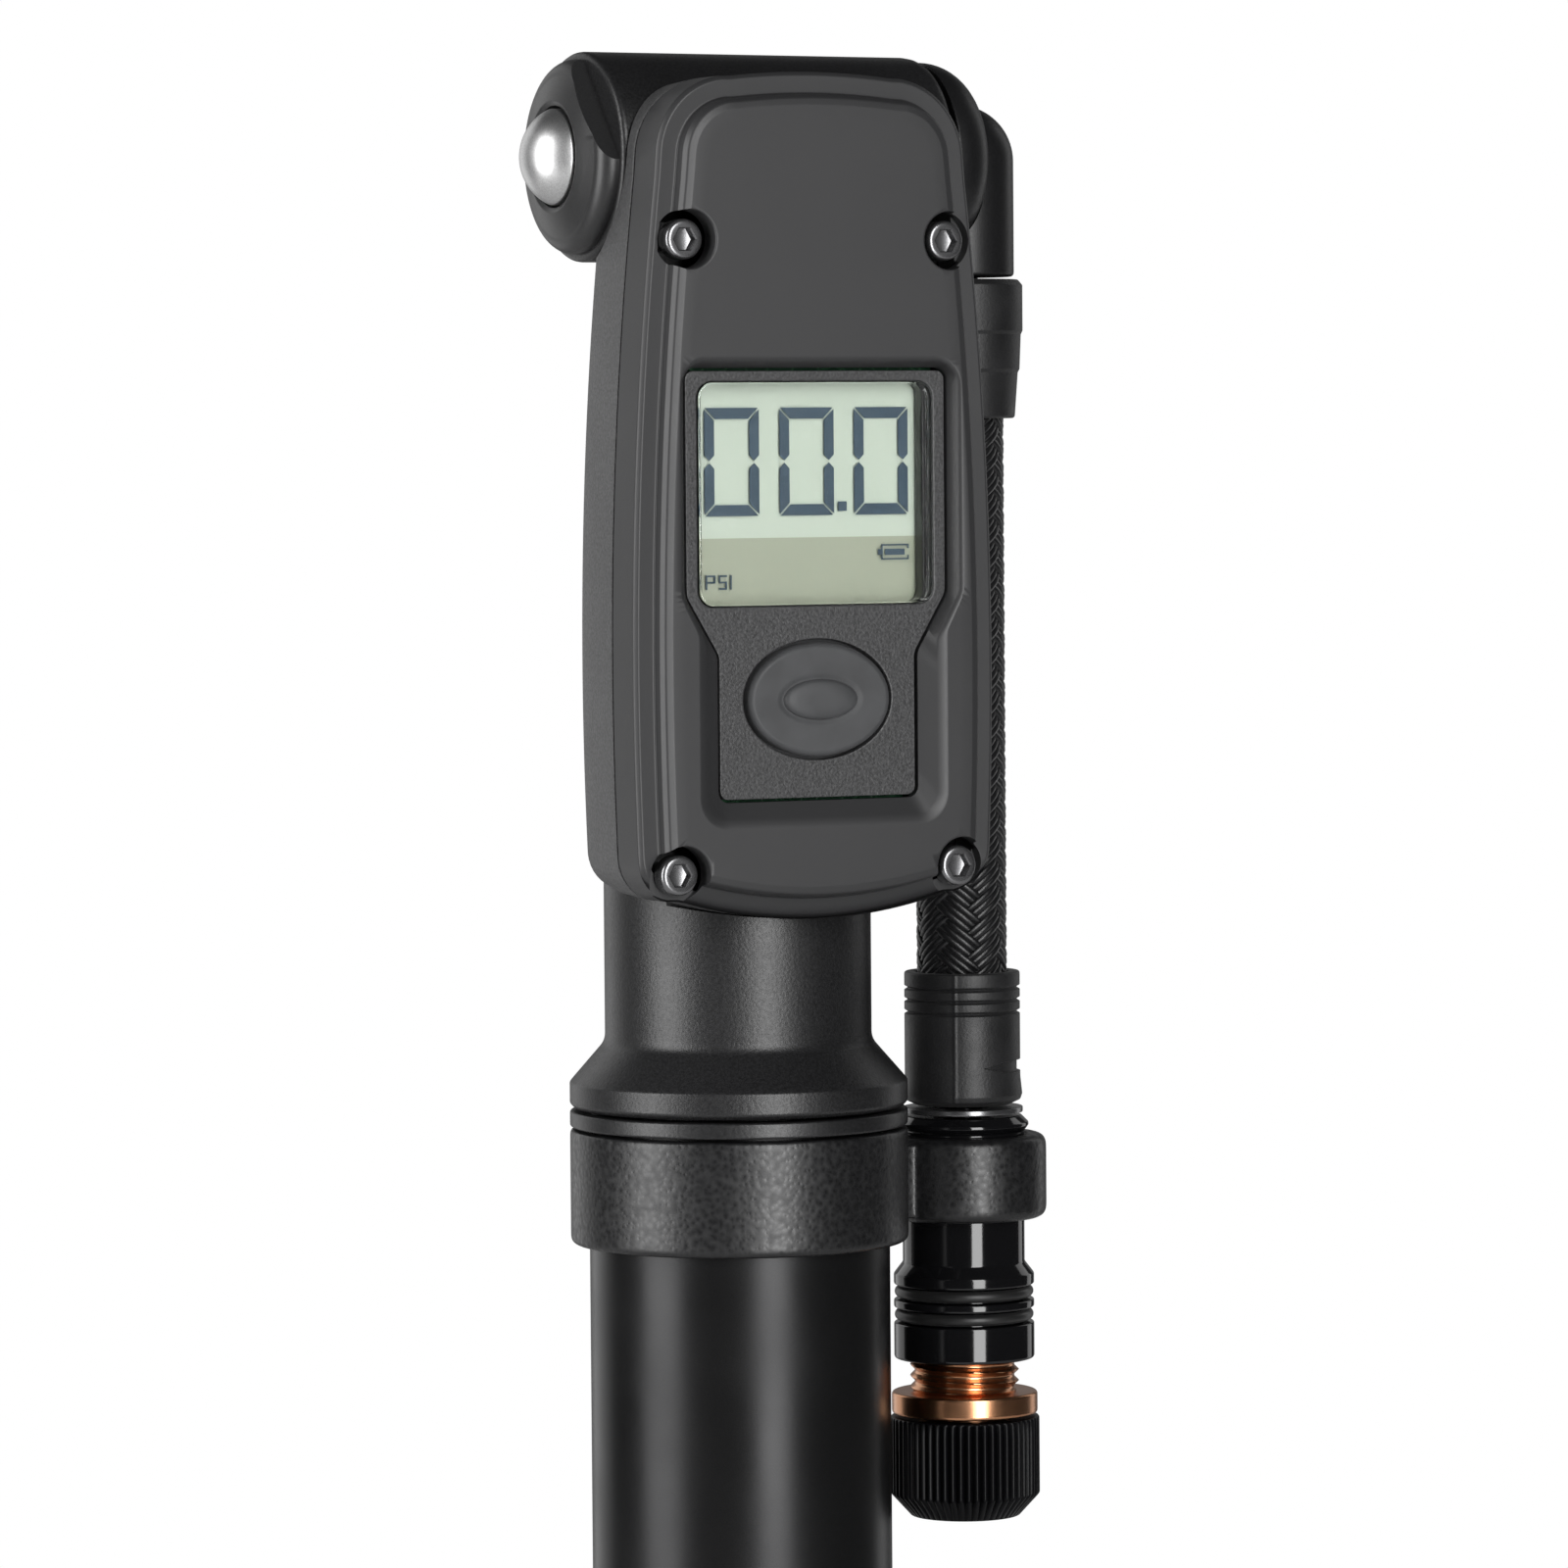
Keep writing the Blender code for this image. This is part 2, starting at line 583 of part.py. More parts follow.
def make_chuck():
    """Connector with its O-rings, the threaded sleeve, and the knurled cap that grips the valve."""
    at = (HOSE_X, 0, 0)
    seal_depth = 1.3
    bore = 6.2
    waist = NECK_CLIP_R
    body = [(0, 195.0), (2.1, 195.0), (2.1, CONNECTOR_TOP), (6.3, CONNECTOR_TOP),
            (7.1, CONNECTOR_TOP - 0.7), (7.1, 180.9), (6.8, 180.6), (waist, 180.6), (waist, 166.1),
            (CONNECTOR_R, 164.8)]
    for top in SEAL_TOPS:
        groove_r = CONNECTOR_R - seal_depth
        body += [(CONNECTOR_R, top), (groove_r, top), (groove_r, top - 1.7), (CONNECTOR_R, top - 1.7)]
    body += [(CONNECTOR_R, CONNECTOR_BOTTOM + 0.3), (CONNECTOR_R - 0.3, CONNECTOR_BOTTOM),
             (bore, CONNECTOR_BOTTOM), (bore, 164.4), (4.3, 164.4), (4.3, 166.0), (0, 166.0)]
    turned("connector_body", body, "gloss_black", at, sides=HOSE_SIDES)
    for name, top in zip(("connector_seal_upper", "connector_seal_lower"), SEAL_TOPS):
        seal_ring(name, CONNECTOR_R - 0.55, 0.55, (HOSE_X, 0, top - 0.85), sides=HOSE_SIDES)
    pin = [(0, 165.7), (4.0, 165.7), (4.0, 164.7), (0.9, 164.7), (0.9, 146.6), (0, 146.6)]
    turned("depressor_pin", pin, "brass", at, sides=16)

    carrier = bpy.data.objects.new("chuck_axis", None)
    carrier.location = Vector(at) * MM
    GUIDES.objects.link(carrier)
    thread_r = 5.9
    thread_depth = 0.45
    pitch = 1.2
    sleeve = [(2.0, 160.4), (thread_r, 160.4)]
    for i in range(3):
        crest = CONNECTOR_BOTTOM + 0.1 - i * pitch
        sleeve += [(thread_r, crest), (thread_r - thread_depth, crest - pitch / 2)]
    sleeve += [(thread_r - thread_depth, SLEEVE_FLANGE_TOP), (7.6, SLEEVE_FLANGE_TOP),
               (7.9, SLEEVE_FLANGE_TOP - 0.3), (7.9, SLEEVE_FLANGE_BOTTOM + 0.3),
               (7.6, SLEEVE_FLANGE_BOTTOM), (5.0, SLEEVE_FLANGE_BOTTOM), (5.0, 146.9), (2.0, 146.9)]
    pieces = [turned("threaded_sleeve", sleeve, "copper", (0, 0, 0), sides=HOSE_SIDES)]

    cap_top = SLEEVE_FLANGE_BOTTOM - GAP
    cap = [(5.3, cap_top), (VALVE_CAP_R - 0.3, cap_top), (VALVE_CAP_R, cap_top - 0.3),
           (VALVE_CAP_R, 140.9), (5.9, VALVE_CAP_BOTTOM), (SOCKET_R, VALVE_CAP_BOTTOM),
           (SOCKET_R, 144.3), (5.3, 144.3)]
    pieces.append(turned("valve_cap", cap, "gloss_black", (0, 0, 0), sides=HOSE_SIDES))
    pieces.append(ring("valve_gasket", 1.7, 5.0, 144.6, 146.6, "rubber_black", sides=SMALL_SIDES))
    for piece in pieces:
        piece.parent = carrier


# ------------------------------------------------------------------ gauge

def gauge_outline(inset):
    """The gauge's outline moved inwards by inset: bowed sides, arched ends and round corners.

    It runs clockwise from the middle of the top edge, as (x, z) points.
    """
    bow = 1.3 / 34.0 ** 2
    top_arch = 0.9 / 12.0 ** 2
    bottom_arch = 2.4 / 16.0 ** 2

    def side(z):
        return GAUGE_HALF_WIDTH - inset - bow * (z - GAUGE_WIDEST_Z) ** 2

    def side_tilt(z):
        return -math.degrees(math.atan(2 * bow * (z - GAUGE_WIDEST_Z)))

    def corner(edge, arch, radius, sign):
        """Centre and end angles of the arc between a side and the top or bottom edge."""
        x = side(edge) - radius
        z = edge - sign * radius
        for _ in range(20):
            tilt = -side_tilt(z)
            lean = math.degrees(math.atan(2 * arch * x))
            x = side(z) - radius * math.cos(math.radians(tilt))
            z = edge - sign * (arch * x ** 2 + radius * math.cos(math.radians(lean)))
        return (x, z), sign * (90 - lean), tilt

    radius = max(GAUGE_CORNER_TOP - inset, 2.0)
    upper, upper_end, upper_side = corner(GAUGE_TOP - inset, top_arch, radius, 1)
    low_radius = max(GAUGE_CORNER_BOTTOM - inset, 2.0)
    lower, lower_end, lower_side = corner(GAUGE_BOTTOM + inset, bottom_arch, low_radius, -1)

    right = []
    last = upper[0] + radius * math.cos(math.radians(upper_end))
    for i in range(3):
        x = last * i / 3
        right.append((x, GAUGE_TOP - inset - top_arch * x ** 2))
    right += arc(upper, radius, upper_end, upper_side, 5)
    first_z = right[-1][1]
    lower_arc = arc(lower, low_radius, lower_side, lower_end, 4)
    for i in range(1, 5):
        z = first_z + (lower_arc[0][1] - first_z) * i / 5
        right.append((side(z), z))
    right += lower_arc
    last = lower_arc[-1][0]
    for i in range(2, -1, -1):
        x = last * i / 3
        right.append((x, GAUGE_BOTTOM + inset + bottom_arch * x ** 2))
    left = [(-x, z) for x, z in reversed(right[1:-1])]
    return right + left


def recess_outline(depth, inset=0.0):
    """The recess in the face, wide round the window and narrower round the button.

    Its walls slope in from the face, at depth 0, to their foot, at depth 1.
    """
    wide = 16.2 - 0.8 * depth - inset
    narrow = 14.1 - 2.4 * depth - inset
    top = 263.3 - 0.8 * depth - inset
    bottom = 215.3 + 2.3 * depth + inset
    radius = 2.9 - 1.7 * depth - inset
    shoulder = 239.0
    waist = 235.0 - 2.2 * depth
    right = arc((wide - radius, top - radius), radius, 90, 0, 4)
    right += [(wide, shoulder), (narrow, waist)]
    right += arc((narrow - radius, bottom + radius), radius, 0, -90, 4)
    left = [(-x, z) for x, z in reversed(right)]
    return right + left


def neck_clearance():
    """The space that the head takes out of the gauge's back."""
    cutter = rod("neck_clearance", NECK_R + GAP, 180.0, 300.0, sides=SIDES)
    far = 40
    cut(cutter, block("neck_clearance_flat", (-far, -far, 170.0), (far, NECK_FLAT_Y - GAP, 320.0)))
    return cutter


def make_gauge_shells():
    front = loft("gauge_front_shell", [
        (FACE_Y, gauge_outline(2.85)), (FACE_Y + 0.15, gauge_outline(2.6)),
        (STEP_Y, gauge_outline(2.3)), (RIM_Y, gauge_outline(0.35)),
        (RIM_Y + 0.45, gauge_outline(0.0)), (SEAM_Y - GAP / 2, gauge_outline(0.0))], "shell_grey")
    inner = slab("front_cavity", gauge_outline(GAUGE_WALL), -18.1, -10.0)
    for i, (x, z) in enumerate(SCREWS):
        cut(inner, rod(f"front_boss_{i}", 3.9, 5.0, 25.0, at=(x, 0, z), axis="-Y"))
    cut(front, inner)
    cut(front, loft("face_recess", [
        (FACE_Y - 0.15, recess_outline(-0.1)), (WALL_FOOT_Y, recess_outline(1.0)),
        (PLATE_Y + 3.0, recess_outline(1.0))]))
    for i, (x, z) in enumerate(SCREWS):
        cut(front, stepped_rod(f"front_hole_{i}", [(3.05, 25.0), (1.55, 17.4)], 5.0, at=(x, 0, z),
                               axis="-Y"))

    rear = loft("gauge_rear_shell", [
        (SEAM_Y + GAP / 2, gauge_outline(0.0)), (-8.0, gauge_outline(0.3)),
        (-4.4, gauge_outline(0.9)), (-2.7, gauge_outline(1.9)),
        (GAUGE_BACK_Y, gauge_outline(3.2))], "textured_black")
    cavity = slab("rear_cavity", gauge_outline(GAUGE_WALL), -14.5, CAVITY_BACK_Y)
    cut(cavity, cross_space("cavity_limit", CROSS_R + GAP + GAUGE_WALL))
    for i, (x, z) in enumerate(SCREWS):
        cut(cavity, rod(f"rear_boss_{i}", 2.9, 5.0, 25.0, at=(x, 0, z), axis="-Y"))
    cut(rear, cavity, neck_clearance())
    cut(rear, cross_space("cross_clearance", CROSS_R + GAP + 0.2))
    for i, (x, z) in enumerate(SCREWS):
        cut(rear, rod(f"rear_hole_{i}", 1.55, 9.9, 25.0, at=(x, 0, z), axis="-Y", sides=16))
    cut(rear, rod("sensor_opening", 1.9, 5.0, 12.0, at=(0, 0, SENSOR_Z), axis="-Y"))
    for i, height in enumerate(MOUNT_SCREWS):
        cut(rear, rod(f"mount_opening_{i}", 1.7, 5.0, 12.0, at=(0, 0, height), axis="-Y"))


def make_gauge_face():
    """Display plate, window, display, gasket and the oval mode button."""
    back = PLATE_Y + PLATE_THICK
    plate = slab("display_plate", recess_outline(1.0, GAP), PLATE_Y, back, "shell_grey")
    low, high = WINDOW_Z
    window = rounded_box(WINDOW_HALF_WIDTH, low, high, 1.6)
    hole = rounded_box(WINDOW_HALF_WIDTH + GAP, low - GAP, high + GAP, 1.9)
    width, height = MODE_SIZE
    button_hole = slab("mode_hole", oval(width + 0.8, height + 0.8, MODE_Z), -25.0, -15.0)
    cut(plate, slab("window_hole", hole, -25.0, -15.0), button_hole)
    lens = slab("display_window", window, PLATE_Y - 0.05, back, "clear")
    soften(lens, 0.2)

    gasket = slab("window_gasket", rounded_box(WINDOW_HALF_WIDTH + 0.9, low - 0.8, high + 0.8, 1.9),
                  back + GAP, -16.3, "rubber_black")
    cut(gasket, slab("gasket_hole", rounded_box(12.9, low + 0.1, high - 0.1, 1.3), -25.0, -10.0))
    block("display_panel", (-13.6, -16.0, low - 0.9), (13.6, -14.9, high + 0.9), "display", 0.15)

    axis = bpy.data.objects.new("mode_press_axis", None)
    axis.location = Vector((0, 0, MODE_Z)) * MM
    GUIDES.objects.link(axis)
    rim = -19.75
    pad = loft("mode_button", [
        (rim - 0.1, oval(width - 1.4, height - 1.4, 0)), (rim + 0.3, oval(width, height, 0)),
        (back + GAP, oval(width, height, 0))], "rubber_grey")
    flange = slab("mode_flange", oval(width + 2.2, height + 2.2, 0), back + GAP, -17.2)
    plunger = rod("mode_plunger", 1.5, 16.5, 17.6, axis="-Y", sides=16)
    crown = loft("mode_crown", [
        (-20.35, oval(7.5, 3.2, 0)), (-20.2, oval(8.5, 4.05, 0)), (-19.0, oval(8.7, 4.3, 0))])
    join(pad, flange, plunger, crown)
    for piece in (pad, flange, plunger, crown):
        piece.parent = axis


def make_gauge_electronics():
    block("circuit_board", (-16.4, -14.2, 215.3), (16.4, -13.0, 270.8), "board_green", 0.3)
    block("mode_switch", (-2.6, -15.6, MODE_Z - 2.6), (2.6, -14.5, MODE_Z + 2.6), "textured_black", 0.3)
    cell = [(0, 12.65), (9.4, 12.65), (10.0, 12.2), (10.0, 10.3), (9.8, 10.15), (0, 10.15)]
    turned("coin_cell", cell, "polished_steel", (0, 0, CELL_Z), "-Y", HOSE_SIDES)
    clip = block("battery_clip", (-12.6, -12.65, CELL_Z - 2.5), (12.6, -9.4, CELL_Z + 2.5), "brass")
    cut(clip, block("battery_clip_gap", (-12.1, -14.0, CELL_Z - 4), (12.1, -9.85, CELL_Z + 4)))
    sensor = [(0, 12.7), (4.0, 12.7), (4.0, 9.45), (1.5, 9.45), (1.5, 3.4), (0, 3.4)]
    turned("pressure_sensor", sensor, "polished_steel", (0, 0, SENSOR_Z), "-Y", SMALL_SIDES)
    seal_ring("sensor_seal", 2.65, 0.65, (0, -6.6, SENSOR_Z), "-Y", 16)


def socket_screw(name, x, z, head_top, head_r, shank_end, shank_r, hexagon):
    """A socket-head screw that points into the object along +Y."""
    head_height = 2.0
    profile = [(0, head_top), (head_r - 0.25, head_top), (head_r, head_top - 0.25),
               (head_r, head_top - head_height), (shank_r, head_top - head_height),
               (shank_r, shank_end), (0, shank_end)]
    screw = turned(name, profile, "anodised_black", (x, 0, z), "-Y", SMALL_SIDES)
    depth = 1.2
    cut(screw, rod(name + "_socket", hexagon, head_top - depth, head_top + 1, at=(x, 0, z),
                   axis="-Y", sides=6))


def make_gauge_screws():
    for i, (x, z) in enumerate(SCREWS):
        socket_screw(f"gauge_screw_{i + 1}", x, z, 19.6, 2.1, 10.4, 1.2, 1.25)
    for i, height in enumerate(MOUNT_SCREWS):
        socket_screw(f"mount_screw_{i + 1}", 0, height, 11.4, 2.3, 3.0, 1.1, 1.1)


make_head()
make_ring()
make_collar()
make_pump()
make_plunger()
make_bleed_valve()
make_swivel()
make_hose()
make_chuck()
make_gauge_shells()
make_gauge_face()
make_gauge_electronics()
make_gauge_screws()
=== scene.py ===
"""Looks of the shock suspension pump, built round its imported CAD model.

Every visible CAD node gets a finer piece of the same size with its own procedural material, and the
hidden ones keep their CAD mesh with a better material. Shapes are in millimetres and MM turns them
into metres: +Z runs up the barrel, -Y is the face of the gauge and +X is the hose side.
"""
import math

import bmesh
import bpy
from mathutils import Euler, Matrix, Vector


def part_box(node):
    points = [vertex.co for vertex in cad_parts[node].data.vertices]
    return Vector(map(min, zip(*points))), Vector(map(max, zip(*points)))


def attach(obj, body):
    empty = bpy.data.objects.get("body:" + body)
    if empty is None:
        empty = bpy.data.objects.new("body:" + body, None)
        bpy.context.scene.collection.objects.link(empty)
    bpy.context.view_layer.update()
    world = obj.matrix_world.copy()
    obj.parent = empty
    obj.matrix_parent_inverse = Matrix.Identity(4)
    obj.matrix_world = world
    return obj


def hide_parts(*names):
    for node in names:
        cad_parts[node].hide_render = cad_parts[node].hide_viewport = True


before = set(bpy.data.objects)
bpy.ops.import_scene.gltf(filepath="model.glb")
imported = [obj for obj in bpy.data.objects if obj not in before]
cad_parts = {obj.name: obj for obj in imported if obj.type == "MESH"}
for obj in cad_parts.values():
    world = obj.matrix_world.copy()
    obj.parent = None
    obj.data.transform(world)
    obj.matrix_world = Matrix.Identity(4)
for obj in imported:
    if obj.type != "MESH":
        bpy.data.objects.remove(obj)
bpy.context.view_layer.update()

MM = 0.001
GAP = 0.3                    # clearance between neighbouring pieces
SMOOTH_TURN = math.radians(14)
TURN = {"Z": (0, 0, 0), "X": (0, math.radians(90), 0), "-Y": (math.radians(90), 0, 0)}


def box_mm(node):
    low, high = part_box(node)
    return low / MM, high / MM


def middle(node):
    low, high = box_mm(node)
    return (low + high) / 2


def radius_of(node):
    """Outer radius of an upright turned node."""
    low, high = box_mm(node)
    return (high.x - low.x) / 2


# Sizes that the frame gives
HEAD_LOW, HEAD_HIGH = box_mm("head_body")
CROSS_Z = middle("bleed_bezel").z
CROSS_R = HEAD_HIGH.z - CROSS_Z
CROSS_LEFT = HEAD_LOW.x
CROSS_RIGHT = HEAD_HIGH.x
COLLAR_R = radius_of("seam_ring")
BARREL_R = radius_of("barrel_tube")
BARREL_LOW, BARREL_HIGH = box_mm("barrel_tube")
HOSE_X = middle("braided_hose").x
HOSE_R = radius_of("braided_hose")
ROD_R = radius_of("piston_rod")
CYLINDER_R = radius_of("pump_cylinder")
FRONT_LOW, FRONT_HIGH = box_mm("gauge_front_shell")
REAR_LOW, REAR_HIGH = box_mm("gauge_rear_shell")
PLATE_LOW, PLATE_HIGH = box_mm("display_plate")
WINDOW_LOW, WINDOW_HIGH = box_mm("display_window")
PANEL_LOW, PANEL_HIGH = box_mm("display_panel")
MODE_LOW, MODE_HIGH = box_mm("mode_button")
BEZEL_LOW, BEZEL_HIGH = box_mm("bleed_bezel")
BUTTON_TIP = box_mm("bleed_button")[0].x
SLEEVE_LOW, SLEEVE_HIGH = box_mm("threaded_sleeve")
CAP_LOW, CAP_HIGH = box_mm("valve_cap")
FACE_Y = FRONT_LOW.y
PLATE_Y = PLATE_LOW.y
MODE_Z = middle("mode_button").z
CROSS = (0, 0, CROSS_Z)      # middle of the cross cylinder
HOSE = (HOSE_X, 0, 0)        # foot of the hose's axis

# Sizes inside those boxes, which repeat the CAD model's
NECK_R = 14.2
NECK_TOP = 279.3
NECK_FLAT_Y = -7.5
FLARE_TOP = 191.4
HEAD_BOTTOM = 184.3
BARREL_WALL = 1.8
BUTTON_R = 5.03
SHELL_WALL = 1.6
WINDOW_RADIUS = 1.6
MODE_FLANGE = 1.1            # the key's hidden flange, all round
MODE_WIDTH = MODE_HIGH.x - MODE_LOW.x - 2 * MODE_FLANGE
MODE_HEIGHT = MODE_HIGH.z - MODE_LOW.z - 2 * MODE_FLANGE
SCREWS = [(-15.2, 275.7), (15.2, 275.7), (-16.3, 210.3), (16.3, 210.3)]

# Sizes of the visual model alone
OUTLINE_POINTS = 360
WINDOW_POINTS = 240
LCD_STEP_Z = 244.9           # where the display's lower band starts
YARN_R = 0.40
YARN_FLATNESS = 0.85
CLIP_CUT_LOW = 160           # how far the clip's cutters reach
CLIP_CUT_HIGH = 190


# ------------------------------------------------------------------ mesh helpers

def soften_corners(points, radius, closed=False, steps=4):
    """Round the sharp corners of a path of (u, v) points; a third number is a corner's own radius."""
    count = len(points)
    result = []
    for i, point in enumerate(points):
        here = Vector(point[:2])
        own = point[2] if len(point) > 2 else radius
        if own == 0 or (not closed and i in (0, count - 1)):
            result.append(here)
            continue
        arrive = here - Vector(points[i - 1][:2])
        leave = Vector(points[(i + 1) % count][:2]) - here
        turn = arrive.angle(leave, 0)
        if turn < SMOOTH_TURN:
            result.append(here)
            continue
        reach = min(own * math.tan(turn / 2), 0.45 * arrive.length, 0.45 * leave.length)
        start = here - arrive.normalized() * reach
        end = here + leave.normalized() * reach
        for step in range(steps + 1):
            t = step / steps
            result.append(start.lerp(here, t).lerp(here.lerp(end, t), t))
    return [(p[0], p[1]) for p in result]


def arc(centre, radius, start, end, steps):
    """Points on an arc, with the angles in degrees from the first axis."""
    points = []
    for i in range(steps + 1):
        angle = math.radians(start + (end - start) * i / steps)
        points.append((centre[0] + radius * math.cos(angle), centre[1] + radius * math.sin(angle)))
    return points


def new_object(name, verts, faces):
    """An object from points in millimetres, with its faces turned outwards."""
    bm = bmesh.new()
    made = [bm.verts.new(Vector(v) * MM) for v in verts]
    for face in faces:
        bm.faces.new([made[i] for i in face])
    bmesh.ops.recalc_face_normals(bm, faces=bm.faces)
    mesh = bpy.data.meshes.new(name)
    bm.to_mesh(mesh)
    bm.free()
    obj = bpy.data.objects.new(name, mesh)
    bpy.context.scene.collection.objects.link(obj)
    return obj


def revolve(name, profile, at=(0, 0, 0), axis="Z", steps=144, shape=None):
    """Turn (radius, height) points about an axis; shape may change a radius by angle and height.

    A profile that starts and ends on the axis makes a solid, and any other makes a closed ring.
    """
    place = Matrix.Translation(at) @ Euler(TURN[axis]).to_matrix().to_4x4()
    verts = []
    rows = []
    for radius, height in profile:
        if radius == 0:
            rows.append([len(verts)] * steps)
            verts.append(place @ Vector((0, 0, height)))
            continue
        rows.append(list(range(len(verts), len(verts) + steps)))
        for i in range(steps):
            angle = 2 * math.pi * i / steps
            r = shape(radius, height, angle) if shape else radius
            verts.append(place @ Vector((r * math.cos(angle), r * math.sin(angle), height)))
    if profile[0][0] > 0:
        rows.append(rows[0])
    return new_object(name, verts, skin(rows))


def skin(rows):
    """Faces between rows of points that each close on themselves; a row of one point is a pole."""
    faces = []
    count = len(rows[0])
    for upper, lower in zip(rows, rows[1:]):
        for i in range(count):
            after = (i + 1) % count
            corners = [upper[i], upper[after], lower[after], lower[i]]
            face = [c for k, c in enumerate(corners) if c != corners[k - 1]]
            if len(face) > 2:
                faces.append(face)
    return faces


def loft(name, sections):
    """Skin sections of equal length, each a depth y and an outline of (x, z) points.

    An outline of (x, y, z) points has its own depths.
    """
    verts = []
    rows = []
    for depth, outline in sections:
        rows.append(list(range(len(verts), len(verts) + len(outline))))
        verts += [p if len(p) == 3 else (p[0], depth, p[1]) for p in outline]
    return new_object(name, verts, skin(rows) + [rows[0], rows[-1]])


def mirrored(right):
    """Close an outline whose right half runs from the top middle to the bottom middle."""
    return right + [(-x, z) for x, z in reversed(right[1:-1])]


def resample(outline, count=OUTLINE_POINTS):
    """Evenly spaced points along a closed outline, from its first point."""
    loop = [Vector(p) for p in outline] + [Vector(outline[0])]
    lengths = [(b - a).length for a, b in zip(loop, loop[1:])]
    spacing = sum(lengths) / count
    result = []
    travelled = 0.0
    i = 0
    for k in range(count):
        target = k * spacing
        while travelled + lengths[i] < target and i < len(lengths) - 1:
            travelled += lengths[i]
            i += 1
        point = loop[i].lerp(loop[i + 1], (target - travelled) / lengths[i])
        result.append((point.x, point.y))
    return result


def quarter_round(radius, steps):
    """(inset, depth) pairs down a rounded edge, from its most inset point."""
    turns = [i / steps * math.pi / 2 for i in range(steps + 1)]
    return [(radius * (1 - math.sin(turn)), radius * (1 - math.cos(turn))) for turn in turns]


def box_outline(left, bottom, right, top):
    return [(left, top), (right, top), (right, bottom), (left, bottom)]


def rounded_box(half_width, bottom, top, radius, steps=8):
    right = [(0, top)] + arc((half_width - radius, top - radius), radius, 90, 0, steps)
    right += arc((half_width - radius, bottom + radius), radius, 0, -90, steps) + [(0, bottom)]
    return mirrored(right)


def oval(width, height, centre_z, steps=120):
    points = []
    for i in range(steps):
        angle = math.pi / 2 - 2 * math.pi * i / steps
        points.append((width / 2 * math.cos(angle), centre_z + height / 2 * math.sin(angle)))
    return points


def slab(name, outline, front, back, edge=0.0):
    """A flat piece from front to back, with its front and back edges rounded by edge."""
    if not edge:
        return loft(name, [(front, outline), (back, outline)])
    centre = Vector((0, (min(z for _, z in outline) + max(z for _, z in outline)) / 2))
    half = Vector((max(x for x, _ in outline), max(z for _, z in outline) - centre.y))

    def drawn_in(inset):
        scale = Vector(((half.x - inset) / half.x, (half.y - inset) / half.y))
        return [(x * scale.x, centre.y + (z - centre.y) * scale.y) for x, z in outline]

    bend = [(edge, 0.0), (edge * 0.4, edge * 0.1), (edge * 0.1, edge * 0.4), (0.0, edge)]
    sections = [(front + depth, drawn_in(inset)) for inset, depth in bend]
    sections += [(back - depth, drawn_in(inset)) for inset, depth in reversed(bend)]
    return loft(name, sections)


def bar(name, low, high):
    """A plain box between two corners, for cutting."""
    outline = box_outline(low[0], low[2], high[0], high[2])
    return loft(name, [(low[1], outline), (high[1], outline)])


def plug(name, radius, bottom, top, at=(0, 0, 0), axis="Z", steps=144):
    """A plain cylinder, for cutting."""
    return revolve(name, [(0, top), (radius, top), (radius, bottom), (0, bottom)], at, axis, steps)


def apply_modifiers(obj):
    depsgraph = bpy.context.evaluated_depsgraph_get()
    mesh = bpy.data.meshes.new_from_object(obj.evaluated_get(depsgraph))
    old = obj.data
    obj.modifiers.clear()
    obj.data = mesh
    bpy.data.meshes.remove(old)


def combine(obj, others, operation="DIFFERENCE"):
    """Cut other shapes from an object, or join them to it, and remove them."""
    for other in others:
        modifier = obj.modifiers.new(other.name, "BOOLEAN")
        modifier.operation = operation
        modifier.solver = "EXACT"
        modifier.object = other
    apply_modifiers(obj)
    for other in others:
        bpy.data.objects.remove(other, do_unlink=True)


def melt(obj, voxel, rounds):
    """Run an object's shapes together into one moulded skin with soft fillets."""
    remesh = obj.modifiers.new("Remesh", "REMESH")
    remesh.mode = "VOXEL"
    remesh.voxel_size = voxel * MM
    smooth = obj.modifiers.new("Smooth", "SMOOTH")
    smooth.factor = 0.5
    smooth.iterations = rounds
    apply_modifiers(obj)


def finish(obj, look, body, node, sharp=40):
    """Shade a piece, give it its material and tie it to the frame in place of a CAD node."""
    obj.data.materials.clear()
    obj.data.materials.append(LOOKS[look])
    obj.data.shade_smooth()
    obj.data.set_sharp_from_angle(angle=math.radians(sharp))
    even = obj.modifiers.new("Even shading", "WEIGHTED_NORMAL")
    even.keep_sharp = True
    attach(obj, body)
    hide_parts(node)


def turned(name, profile, look, slot, body, node, soft=0.2, closed=True, bend=4, **turning):
    """Make and finish a turned piece, with the profile's sharp corners rounded by soft."""
    obj = revolve(name, soften_corners(profile, soft, closed, bend), **turning)
    finish(obj, look, body, node)


# ------------------------------------------------------------------ material helpers

